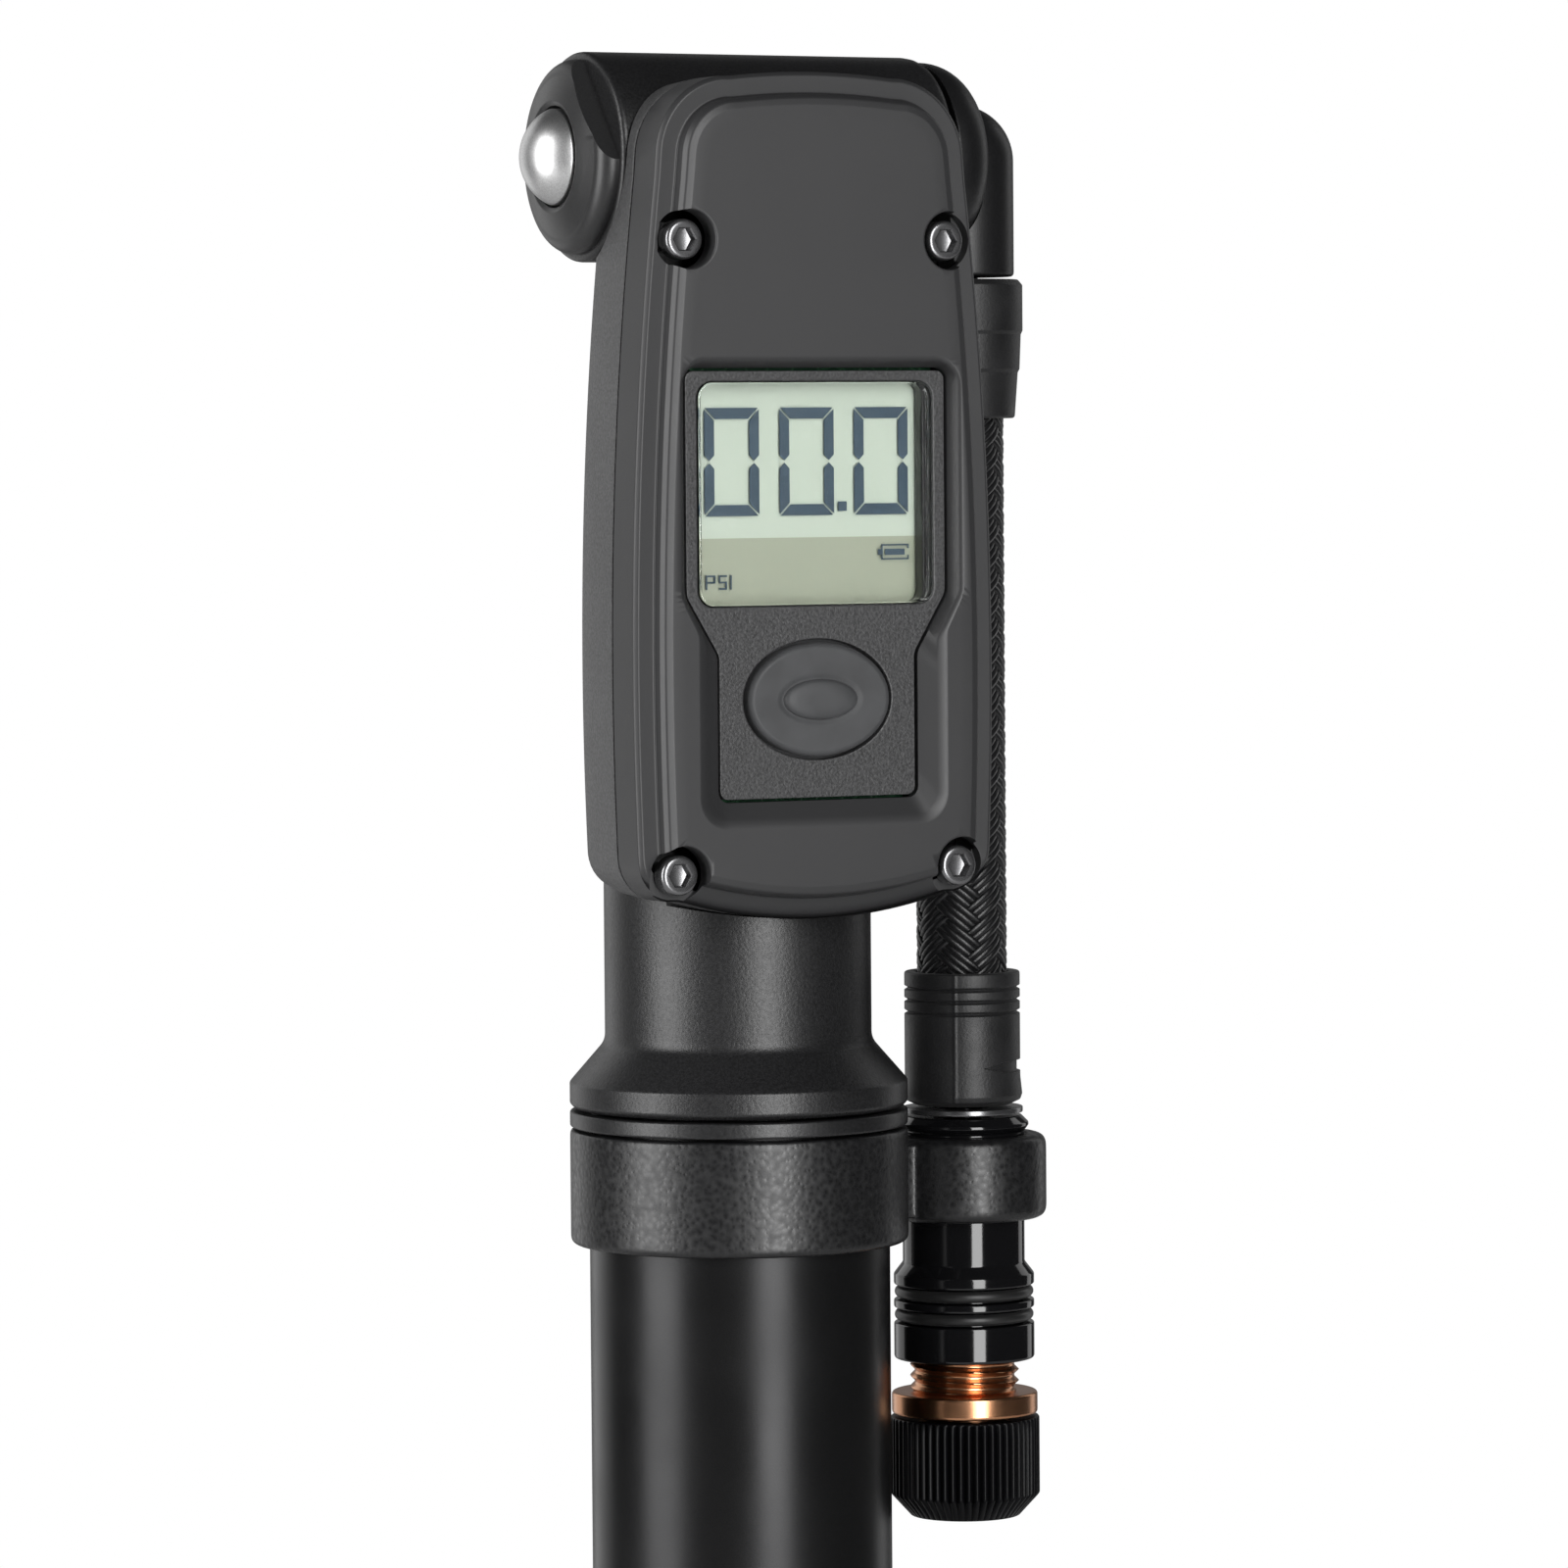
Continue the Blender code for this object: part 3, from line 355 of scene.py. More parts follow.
class Material:
    """A node material with short calls for the nodes that these finishes share."""

    def __init__(self, name):
        self.material = bpy.data.materials.new(name)
        self.material.use_nodes = True
        self.tree = self.material.node_tree
        self.shader = self.tree.nodes["Principled BSDF"]
        self.output = self.tree.nodes["Material Output"]
        self.place = self.node("ShaderNodeTexCoord").outputs["Object"]

    def node(self, kind, **settings):
        made = self.tree.nodes.new(kind)
        for key, value in settings.items():
            setattr(made, key, value)
        return made

    def link(self, source, target):
        self.tree.links.new(source, target)

    def set(self, **values):
        for key, value in values.items():
            self.shader.inputs[key.replace("_", " ")].default_value = value

    def noise(self, size, detail=2.0, rough=0.5, stretch=None):
        """Noise with features of about size millimetres."""
        made = self.node("ShaderNodeTexNoise")
        made.inputs["Scale"].default_value = 1 / (size * MM)
        made.inputs["Detail"].default_value = detail
        made.inputs["Roughness"].default_value = rough
        self.link(self.stretched(stretch), made.inputs["Vector"])
        return made.outputs["Fac"]

    def cells(self, size, feature):
        made = self.node("ShaderNodeTexVoronoi", feature=feature)
        made.inputs["Scale"].default_value = 1 / (size * MM)
        self.link(self.place, made.inputs["Vector"])
        return made.outputs["Distance"]

    def stretched(self, stretch):
        if not stretch:
            return self.place
        mapping = self.node("ShaderNodeMapping")
        mapping.inputs["Scale"].default_value = stretch
        self.link(self.place, mapping.inputs["Vector"])
        return mapping.outputs["Vector"]

    def range(self, source, low, high, start=0.0, end=1.0):
        made = self.node("ShaderNodeMapRange")
        made.inputs["From Min"].default_value = start
        made.inputs["From Max"].default_value = end
        made.inputs["To Min"].default_value = low
        made.inputs["To Max"].default_value = high
        self.link(source, made.inputs["Value"])
        return made.outputs["Result"]

    def blend(self, factor, first, second):
        """Mix two colours, each a colour or a socket."""
        made = self.node("ShaderNodeMix", data_type="RGBA")
        self.link(factor, made.inputs["Factor"])
        for value, socket in ((first, made.inputs[6]), (second, made.inputs[7])):
            if isinstance(value, bpy.types.NodeSocket):
                self.link(value, socket)
            else:
                socket.default_value = (*value, 1.0)
        return made.outputs[2]

    def math(self, operation, first, second):
        made = self.node("ShaderNodeMath", operation=operation)
        for value, socket in ((first, made.inputs[0]), (second, made.inputs[1])):
            if isinstance(value, bpy.types.NodeSocket):
                self.link(value, socket)
            else:
                socket.default_value = value
        return made.outputs[0]

    def bump(self, height, depth, below=None):
        """A bump of depth millimetres, on top of another bump."""
        made = self.node("ShaderNodeBump")
        made.inputs["Distance"].default_value = depth * MM
        self.link(height, made.inputs["Height"])
        if below:
            self.link(below, made.inputs["Normal"])
        return made.outputs["Normal"]

    def colour(self, source):
        self.link(source, self.shader.inputs["Base Color"])

    def roughness(self, source):
        self.link(source, self.shader.inputs["Roughness"])

    def normal(self, source):
        self.link(source, self.shader.inputs["Normal"])

    def tint(self, source, colour, dark, light, start=0.3, end=0.7):
        """Vary one colour between a darker and a lighter shade of it."""
        self.colour(self.blend(self.range(source, 0.0, 1.0, start, end), shade(colour, dark),
                               shade(colour, light)))


def shade(colour, factor):
    return tuple(min(c * factor, 1.0) for c in colour)


def moulded(name, colour, rough, grain, depth, variation=0.25, specular=0.5):
    """Moulded plastic or a cast surface: a fine spark-eroded grain under a faint uneven sheen."""
    m = Material(name)
    m.set(Specular_IOR_Level=specular)
    fine = m.noise(grain, 3.0, 0.65)
    broad = m.noise(14.0, 2.0)
    speck = m.range(m.noise(grain * 0.8, 1.0), 0.0, 1.0, 0.35, 0.65)
    tint = m.blend(speck, shade(colour, 1 - variation), shade(colour, 1 + variation))
    m.colour(m.blend(m.range(broad, 0.0, 0.35), tint, shade(colour, 0.85)))
    uneven = m.math("ADD", fine, m.math("MULTIPLY", broad, 0.5))
    m.roughness(m.range(uneven, rough - 0.09, rough + 0.09, 0.35, 1.15))
    m.normal(m.bump(fine, depth))
    return m.material


def anodised(name, colour, rough, metallic=0.6, grain=0.12, depth=0.006):
    """Bead-blasted and anodised metal: a fine even grain and a slightly uneven sheen."""
    m = Material(name)
    m.set(Metallic=metallic)
    blasted = m.noise(grain, 2.0)
    broad = m.noise(9.0, 2.0)
    m.tint(blasted, colour, 0.85, 1.15)
    m.roughness(m.range(broad, rough - 0.03, rough + 0.03, 0.3, 0.7))
    m.normal(m.bump(blasted, depth))
    return m.material


def polished(name, colour, rough, metallic=1.0, marks=0.002, smudge=0.06, specular=0.5):
    """Turned and polished metal: very fine marks and a faint uneven gloss."""
    m = Material(name)
    m.set(Metallic=metallic, Specular_IOR_Level=specular)
    fine = m.noise(0.15, 2.0, 0.5, (0.2, 0.2, 1.0))
    broad = m.noise(6.0, 3.0)
    m.tint(broad, colour, 0.93, 1.05)
    m.roughness(m.range(broad, rough, rough + smudge, 0.35, 0.7))
    m.normal(m.bump(fine, marks))
    return m.material


def rubber(name, colour, rough, grain=0.25, depth=0.012):
    """Matte rubber: dull, slightly dusty and with a soft sheen at its edges."""
    m = Material(name)
    m.set(Sheen_Weight=0.04, Sheen_Roughness=0.5, Specular_IOR_Level=0.4)
    fine = m.noise(grain, 3.0, 0.6)
    dust = m.noise(4.0, 4.0)
    m.tint(dust, colour, 0.9, 1.25, 0.35, 0.75)
    m.roughness(m.range(dust, rough - 0.06, rough + 0.06, 0.3, 0.7))
    m.normal(m.bump(fine, depth))
    return m.material


def leathery(name, colour, rough):
    """A coarse moulded grain of small soft cells, as on the hose clip."""
    m = Material(name)
    cell = m.cells(0.55, "SMOOTH_F1")
    fine = m.noise(0.2, 2.0)
    m.tint(cell, colour, 0.8, 1.2, 0.1, 0.7)
    m.roughness(m.range(cell, rough - 0.08, rough + 0.08, 0.1, 0.7))
    m.normal(m.bump(fine, 0.006, m.bump(cell, 0.03)))
    return m.material


def yarn(name, colour):
    """Nylon filament yarn: fine filaments with a silky gloss."""
    m = Material(name)
    m.set(Sheen_Weight=0.15, Sheen_Roughness=0.4)
    filament = m.noise(0.09, 2.0, 0.6, (1.0, 1.0, 0.5))
    m.tint(filament, colour, 0.7, 1.4)
    m.roughness(m.range(filament, 0.26, 0.40, 0.3, 0.7))
    m.normal(m.bump(filament, 0.02))
    return m.material


def clear_window(name):
    """Clear polished sheet that lets light through to the display behind it."""
    m = Material(name)
    m.set(Transmission_Weight=1.0, IOR=1.46)
    m.roughness(m.range(m.noise(9.0, 3.0), 0.01, 0.035, 0.35, 0.7))
    m.colour(m.blend(m.range(m.noise(20.0), 0.0, 1.0), (0.97, 0.985, 0.97), (0.95, 0.97, 0.955)))
    through = m.node("ShaderNodeBsdfTransparent")
    through.inputs["Color"].default_value = (0.93, 0.95, 0.93, 1.0)
    mix = m.node("ShaderNodeMixShader")
    m.link(m.node("ShaderNodeLightPath").outputs["Is Shadow Ray"], mix.inputs["Fac"])
    m.link(m.shader.outputs["BSDF"], mix.inputs[1])
    m.link(through.outputs["BSDF"], mix.inputs[2])
    m.link(mix.outputs["Shader"], m.output.inputs["Surface"])
    return m.material


def reflective_display(name):
    """A pale green reflector with a slightly yellower band under the digits."""
    m = Material(name)
    parts = m.node("ShaderNodeSeparateXYZ")
    m.link(m.place, parts.inputs["Vector"])
    edge = LCD_STEP_Z * MM
    upper = m.range(parts.outputs["Z"], 0.0, 1.0, edge - 0.00003, edge + 0.00003)
    grain = m.noise(0.08, 2.0)
    tone = m.blend(upper, (0.180, 0.188, 0.144), (0.292, 0.322, 0.283))
    m.colour(m.blend(m.range(grain, 0.0, 0.25, 0.3, 0.7), tone, (0.17, 0.19, 0.155)))
    m.roughness(m.range(grain, 0.35, 0.5, 0.3, 0.7))
    m.normal(m.bump(grain, 0.003))
    return m.material


def circuit_board(name):
    """Solder resist over copper tracks."""
    m = Material(name)
    tracks = m.range(m.cells(2.4, "DISTANCE_TO_EDGE"), 1.0, 0.0, 0.02, 0.06)
    m.colour(m.blend(tracks, (0.02, 0.12, 0.05), (0.05, 0.22, 0.09)))
    m.roughness(m.range(m.noise(1.0), 0.3, 0.45))
    m.normal(m.bump(tracks, 0.03))
    return m.material


def make_materials():
    return {
        "casting": moulded("casting_black", (0.009, 0.009, 0.0095), 0.38, 0.34, 0.034, 0.35),
        "ring": moulded("ring_black", (0.009, 0.009, 0.0095), 0.37, 0.35, 0.022, 0.35),
        "moulding": moulded("moulding_black", (0.013, 0.013, 0.0135), 0.45, 0.22, 0.018),
        "rear": moulded("rear_shell_black", (0.050, 0.050, 0.051), 0.50, 0.36, 0.045, 0.35),
        "clip": leathery("clip_black", (0.007, 0.007, 0.0075), 0.36),
        "shell": moulded("shell_grey", (0.024, 0.024, 0.025), 0.46, 0.10, 0.003, 0.06),
        "plate": moulded("plate_grey", (0.034, 0.034, 0.035), 0.44, 0.34, 0.06, 0.45),
        "anodised": anodised("anodised_black", (0.015, 0.015, 0.0155), 0.31, 0.7),
        "bezel": moulded("bezel_black", (0.016, 0.016, 0.0165), 0.40, 0.16, 0.008),
        "knuckle": moulded("knuckle_black", (0.007, 0.007, 0.0075), 0.38, 0.2, 0.012, specular=0.35),
        "gloss": polished("gloss_black", (0.004, 0.004, 0.0045), 0.08, 0.0, 0.0006, 0.03),
        "cap": polished("cap_black", (0.002, 0.002, 0.0025), 0.28, 0.0, 0.002, specular=0.12),
        "screw": polished("screw_zinc", (0.20, 0.20, 0.205), 0.24, 0.9, 0.001),
        "rubber": rubber("rubber_black", (0.009, 0.009, 0.0095), 0.46, 0.30, 0.032),
        "seal": rubber("seal_black", (0.010, 0.010, 0.010), 0.38, 0.3, 0.004),
        "button": rubber("rubber_grey", (0.046, 0.047, 0.049), 0.55, 0.18, 0.006),
        "liner": rubber("liner_black", (0.005, 0.005, 0.005), 0.8),
        "yarn": yarn("braid_black", (0.0035, 0.0035, 0.004)),
        "steel": polished("steel", (0.66, 0.66, 0.66), 0.20),
        "dome": anodised("frosted_steel", (0.62, 0.62, 0.62), 0.38, 1.0, 0.14, 0.010),
        "copper": polished("copper", (0.58, 0.29, 0.155), 0.22, 1.0, 0.003),
        "brass": polished("brass", (0.66, 0.48, 0.20), 0.28),
        "clear": clear_window("clear_window"),
        "display": reflective_display("display"),
        "segment": moulded("segment_dark", (0.004, 0.020, 0.040), 0.5, 0.2, 0.002, 0.08),
        "board": circuit_board("circuit_board"),
    }


# ------------------------------------------------------------------ head, ring, collar and barrel

def make_head():
    """One casting: spigot, flare and neck, run together with the cross cylinder."""
    spigot = BARREL_R - BARREL_WALL - GAP
    spigot_bottom = 174.0
    socket = CYLINDER_R + GAP
    socket_top = 183.0
    air_bore = 3.4
    bore_top = 194.0
    profile = [(0, NECK_TOP), (NECK_R, NECK_TOP, 6.0), (NECK_R, FLARE_TOP, 2.2),
               (COLLAR_R - 0.5, 187.6, 0.5), (COLLAR_R, 187.0, 0.5),
               (COLLAR_R, HEAD_BOTTOM + 0.5, 0.5), (COLLAR_R - 0.5, HEAD_BOTTOM, 0.3),
               (spigot, HEAD_BOTTOM), (spigot, spigot_bottom), (socket, spigot_bottom),
               (socket, socket_top), (air_bore, socket_top), (air_bore, bore_top), (0, bore_top)]
    head = revolve("head_casting", soften_corners(profile, 0.15, steps=6), steps=192)
    gauge_space = gauge_outline(-0.15)
    combine(head, [loft("neck_flat", [(-40, gauge_space), (NECK_FLAT_Y, gauge_space)])])
    combine(head, [cross_cylinder()], "UNION")
    finish(head, "casting", "pump_body", "head_body", sharp=50)


def cross_cylinder():
    """The head's cross cylinder, bored for the bleed valve at its left and the swivel at its right."""
    outlet = 4.5
    outlet_x = 11.8
    passage = 1.7
    chamber = 5.2
    chamber_x = -6.0
    seat = 6.3
    seat_x = -13.2
    profile = [(outlet, CROSS_RIGHT), (CROSS_R, CROSS_RIGHT, 1.7), (CROSS_R, CROSS_LEFT, 0.7),
               (seat, CROSS_LEFT), (seat, seat_x), (chamber, seat_x), (chamber, chamber_x),
               (passage, chamber_x), (passage, outlet_x), (outlet, outlet_x)]
    return revolve("cross_cylinder", soften_corners(profile, 0.1, True), CROSS, "X")


def make_ring_and_collar():
    low, high = box_mm("seam_ring")
    inner = BARREL_R + GAP
    ring = [(inner, high.z), (COLLAR_R, high.z), (COLLAR_R, low.z), (inner, low.z)]
    turned("parting_ring", ring, "ring", "textured_black", "pump_body", "seam_ring", 0.3)

    low, high = box_mm("hose_clip_collar")
    profile = [(inner, high.z), (COLLAR_R, high.z, 0.4), (COLLAR_R, low.z, 1.8), (inner, low.z)]
    collar = revolve("collar_and_clip", soften_corners(profile, 0.3, True, 8), steps=192)
    clip_r = 9.0
    clip_low = 170.9
    clip_high = 180.0
    mouth = 2.6
    body = [(0, clip_high), (clip_r, clip_high), (clip_r, clip_low), (0, clip_low)]
    clip = revolve("clip_body", soften_corners(body, 1.3, steps=6), HOSE, steps=96)
    web = bar("clip_web", (13, -4.1, clip_low + 0.6), (HOSE_X, mouth, clip_high - 0.6))
    combine(web, [plug("web_clearance", inner, CLIP_CUT_LOW, CLIP_CUT_HIGH, steps=96)])
    combine(collar, [clip, web], "UNION")
    combine(collar, clip_space(mouth))
    melt(collar, 0.22, 9)
    finish(collar, "clip", "pump_body", "hose_clip_collar", sharp=180)


def clip_space(mouth):
    """The clip's bore, its mouth towards the back and the space behind its lips."""
    bore = 6.9
    far = 24.0
    channel = plug("clip_bore", bore, CLIP_CUT_LOW, CLIP_CUT_HIGH, HOSE)
    slot = bar("clip_mouth", (HOSE_X - bore, 0, CLIP_CUT_LOW), (HOSE_X + bore, far, CLIP_CUT_HIGH))
    behind = bar("clip_behind", (COLLAR_R + 0.6, mouth, CLIP_CUT_LOW), (45, far, CLIP_CUT_HIGH))
    return [channel, slot, behind]


def make_barrel():
    """The barrel tube, and the gland that closes its lower end with a collar."""
    inner = BARREL_R - BARREL_WALL
    tube = [(inner, BARREL_HIGH.z), (BARREL_R, BARREL_HIGH.z), (BARREL_R, BARREL_LOW.z),
            (inner, BARREL_LOW.z)]
    turned("barrel", tube, "anodised", "anodised_black", "pump_body", "barrel_tube", 0.3, steps=192)

    low, high = box_mm("rod_gland")
    shoulder = 73.6
    wiper_seat = 7.6
    wiper_top = 69.0
    gland = [(ROD_R + GAP, high.z), (inner - GAP, high.z), (inner - GAP, shoulder),
             (COLLAR_R, shoulder, 0.6), (COLLAR_R, low.z, 1.4), (wiper_seat, low.z),
             (wiper_seat, wiper_top), (ROD_R + GAP, wiper_top)]
    turned("lower_collar", gland, "moulding", "textured_black", "pump_body", "rod_gland", bend=6,
           steps=192)


# ------------------------------------------------------------------ handle and rod

def make_handle():
    """The flanged core, the rubber grip on it and the flat end cap."""
    low, high = box_mm("handle_core")
    flange = 17.6
    flange_bottom = high.z - 4.0
    core_r = 11.5
    screw_head = 4.8
    screw_seat = 12.2
    screw_hole = 2.5
    rod_seat = 14.0
    core = [(ROD_R + GAP, high.z), (flange, high.z, 1.2), (flange, flange_bottom, 0.3),
            (core_r, flange_bottom), (core_r, low.z), (screw_head, low.z), (screw_head, screw_seat),
            (screw_hole, screw_seat), (screw_hole, rod_seat), (ROD_R + GAP, rod_seat)]
    turned("handle_flange", core, "moulding", "textured_black", "plunger", "handle_core", 0.15,
           bend=6, steps=192)
    turned("rubber_grip", grip_profile(flange, core_r), "rubber", "rubber_black", "plunger",
           "handle_grip", 0.35, steps=192)

    low, high = box_mm("handle_end_cap")
    radius = radius_of("handle_end_cap")
    hollow = 0.6
    cap = [(0, high.z), (radius, high.z, 0.8), (radius, low.z, 2.6), (8.0, low.z, 0.4),
           (7.0, hollow, 0.4), (0, hollow)]
    turned("end_cap", cap, "moulding", "textured_black", "plunger", "handle_end_cap", closed=False,
           bend=8, steps=192)


def make_rod():
    """The piston rod, with its spigot and tapped end, and the bumper round it."""
    low, high = box_mm("piston_rod")
    spigot = 2.5
    spigot_bottom = 168.3
    tapped = 2.3
    tapped_top = 30.0
    rod = [(0, high.z), (spigot, high.z), (spigot, spigot_bottom), (ROD_R, spigot_bottom),
           (ROD_R, low.z), (tapped, low.z), (tapped, tapped_top), (0, tapped_top)]
    turned("pump_rod", rod, "steel", "steel", "plunger", "piston_rod", closed=False, steps=96)

    low, high = box_mm("handle_bumper")
    outer = radius_of("handle_bumper")
    bumper = [(ROD_R + GAP, high.z), (outer, high.z, 1.0), (outer, low.z, 1.0), (ROD_R + GAP, low.z)]
    turned("bumper", bumper, "rubber", "rubber_black", "plunger", "handle_bumper", bend=6, steps=96)


def grip_profile(flange, core_r):
    """A rubber sleeve that swells towards the palm, with bands of fine grooves."""
    low, high = box_mm("handle_grip")
    inner = core_r + GAP
    wide = radius_of("handle_grip")
    points = [(inner, high.z), (flange, high.z, 0.5)]
    steps = 240
    groove_depth = 0.45
    groove_pitch = 3.0
    for i in range(1, steps):
        along = i / steps
        height = high.z - 0.6 - (high.z - low.z - 1.2) * along
        radius = flange + 2.0 * along - 1.6 * math.sin(math.pi * along) ** 2 * (1 - along)
        groove = 0.0
        if 0.10 < along < 0.34 or 0.62 < along < 0.92:
            wave = math.cos(2 * math.pi * (high.z - height) / groove_pitch)
            groove = groove_depth * max(0.0, wave) ** 3
        points.append((radius - groove, height, 0))
    return points + [(wide, low.z, 0.5), (inner, low.z)]


# ------------------------------------------------------------------ bleed valve

def make_bezel():
    """A crowned ring with a flat on its upper front."""
    bezel_r = (BEZEL_HIGH.z - BEZEL_LOW.z) / 2
    face = BEZEL_LOW.x
    bore = 6.1
    lip = BUTTON_R + 0.3
    lip_foot = face + 1.8
    shoulder = 1.8
    rounding = arc((bezel_r - shoulder, face + 0.9 + shoulder), shoulder, 0, -90, 10)
    profile = [(bore, BEZEL_HIGH.x), (bezel_r, BEZEL_HIGH.x, 0.4)] + [(r, x, 0) for r, x in rounding]
    profile += [(7.2, face + 0.42, 1.0), (lip + 0.5, face, 0.3), (lip, face + 0.25, 0.1),
                (lip, lip_foot), (bore, lip_foot)]
    bezel = revolve("valve_bezel", soften_corners(profile, 0.1, True, 8), CROSS, "X")
    flat_height = 7.6
    far = 30
    turn = Matrix.Rotation(math.radians(51.5), 4, "X")
    flat = bar("bezel_flat", (face + 0.2, -far, flat_height), (0, far, far))
    flat.data.transform(Matrix.Translation((0, 0, CROSS_Z * MM)) @ turn)
    combine(bezel, [flat])
    finish(bezel, "bezel", "pump_body", "bleed_bezel")


def make_bleed_button():
    """A spherical dome with a flange that the bezel holds in."""
    rise = BEZEL_LOW.x - BUTTON_TIP
    dome_r = (BUTTON_R ** 2 + rise ** 2) / (2 * rise)
    half = math.degrees(math.asin(BUTTON_R / dome_r))
    edge, *dome = arc((0, BUTTON_TIP + dome_r), dome_r, -90 + half, -90, 16)[:-1]
    flange_r = 5.75
    flange_right = -17.6
    flange_left = -18.8
    profile = [(0, flange_right), (flange_r, flange_right), (flange_r, flange_left),
               (BUTTON_R, flange_left), (*edge, 0.4)]
    profile += [(r, x, 0) for r, x in dome] + [(0, BUTTON_TIP, 0)]
    turned("bleed_dome", profile, "dome", "steel", "bleed_valve", "bleed_button", 0.1, closed=False,
           at=CROSS, axis="X")


# ------------------------------------------------------------------ swivel, hose and chuck

def make_swivel():
    """The knuckle on the end of the cross cylinder, and the elbow, which is cut to fit over it."""
    low, high = box_mm("swivel_knuckle")
    knuckle_r = (high.z - low.z) / 2
    start = CROSS_RIGHT + GAP
    spigot = 4.2
    rounding = 5.0
    centre = (knuckle_r - rounding, high.x - rounding)
    knuckle = [(0, high.x)] + [(r, x, 0) for r, x in arc(centre, rounding, 90, 0, 16)]
    knuckle += [(knuckle_r, start, 0.3), (spigot, start), (spigot, low.x), (0, low.x)]
    turned("knuckle", knuckle, "knuckle", "anodised_black", "hose", "swivel_knuckle", closed=False,
           bend=6, at=CROSS, axis="X")

    low, high = box_mm("hose_elbow")
    elbow_r = (high.y - low.y) / 2
    bottom = 272.4
    barb = 2.2
    dome = [(r, z, 0) for r, z in arc((0, CROSS_Z), elbow_r, 90, 0, 20)[1:]]
    profile = [(0, CROSS_Z + elbow_r)] + dome
    profile += [(elbow_r, bottom, 0.5), (barb, bottom), (barb, low.z), (0, low.z)]
    elbow = revolve("elbow", soften_corners(profile, 0.2), HOSE)
    room = 0.1
    clearance = arc(centre, rounding + room, 90, 0, 16)
    clearance = [(0, clearance[0][1])] + clearance + [(knuckle_r + room, 10), (0, 10)]
    combine(elbow, [revolve("elbow_space", clearance, CROSS, "X")])
    finish(elbow, "knuckle", "hose", "hose_elbow")


def make_upper_boot():
    """A tapered boot with a step, under the elbow."""
    low, high = box_mm("upper_boot")
    inner = HOSE_R + 0.1
    profile = [(inner, high.z), (6.5, high.z, 0.3), (7.0, high.z - 0.6, 0.3), (7.0, 266.6, 0.4),
               (6.8, 266.2), (6.65, 262.5, 0.3), (6.45, 262.1), (6.1, low.z, 0.4), (inner, low.z)]
    turned("hose_boot_upper", profile, "rubber", "rubber_black", "hose", "upper_boot", 0.3, at=HOSE)


def make_lower_boot():
    """A boot with three ring grooves and a flared lip."""
    low, high = box_mm("lower_boot")
    inner = HOSE_R + 0.1
    body_r = 6.25
    groove_depth = 0.45
    profile = [(inner, high.z), (body_r, high.z, 0.3)]
    for i in range(3):
        top = high.z - 1.5 - 1.3 * i
        profile += [(body_r, top, 0.1), (body_r - groove_depth, top - 0.25, 0.15),
                    (body_r, top - 0.5, 0.1)]
    mark_z = low.z + 4.2
    mark_half = 0.65
    profile += [(body_r, mark_z + mark_half * (1 - i / 8), 0) for i in range(17)]
    lip_r = radius_of("lower_boot")
    profile += [(body_r, low.z + 3.0, 0.6), (lip_r, low.z + 1.1, 0.4), (lip_r - 0.2, low.z + 0.5, 0.3),
                (5.2, low.z, 0.3), (inner, low.z)]
    seam = math.radians(-125.6)
    seam_height = 0.09
    seam_width = 0.16
    mark_start = math.radians(-97)
    mark_length = 11.0
    mark_depth = 0.38

    def marked(radius, height, angle):
        """A fine mould line down the front, and a pointed mark sunk into the side."""
        if radius < 5.6:
            return radius
        away = math.remainder(angle - seam, 2 * math.pi) * radius
        along = math.remainder(angle - mark_start, 2 * math.pi) * radius
        half = min(max(along, 0.0) * 0.22, mark_half) if along < mark_length else 0.0
        sunk = mark_depth if abs(height - mark_z) < half - 0.04 else 0.0
        return radius + seam_height * math.exp(-(away / seam_width) ** 2) - sunk

    turned("hose_boot_lower", profile, "rubber", "rubber_black", "hose", "lower_boot", 0.3, at=HOSE,
           steps=288, shape=marked)


def make_ferrule():
    low, high = box_mm("hose_ferrule")
    inner = 3.4
    outer = radius_of("hose_ferrule")
    profile = [(inner, high.z), (outer, high.z), (outer, low.z), (inner, low.z)]
    turned("ferrule", profile, "screw", "steel", "hose", "hose_ferrule", 0.12, at=HOSE)


def braid_strand(strand, strands, group, direction, bottom, top):
    """Centre line of one yarn: it runs over two bands of the other direction and under two."""
    lead = 21.0
    bands = strands // group
    wave = 0.26
    middle_r = HOSE_R - YARN_R * YARN_FLATNESS - wave
    per_turn = 44
    band = strand // group
    offset = (strand % group - (group - 1) / 2) / group
    count = int((top - bottom) / lead * per_turn)
    points = []
    for i in range(count + 1):
        z = bottom + (top - bottom) * i / count
        crossing = 2 * bands * z / lead
        angle = direction * 2 * math.pi * z / lead + 2 * math.pi * (band + offset) / bands
        phase = 2 * band + offset + direction * crossing
        lift = math.cos(2 * math.pi * (phase - 0.5) / 4)
        lift = direction * math.copysign(abs(lift) ** 0.6, lift)
        radius = middle_r + wave * lift
        points.append(Vector((HOSE_X + radius * math.cos(angle), radius * math.sin(angle), z)))
    return points


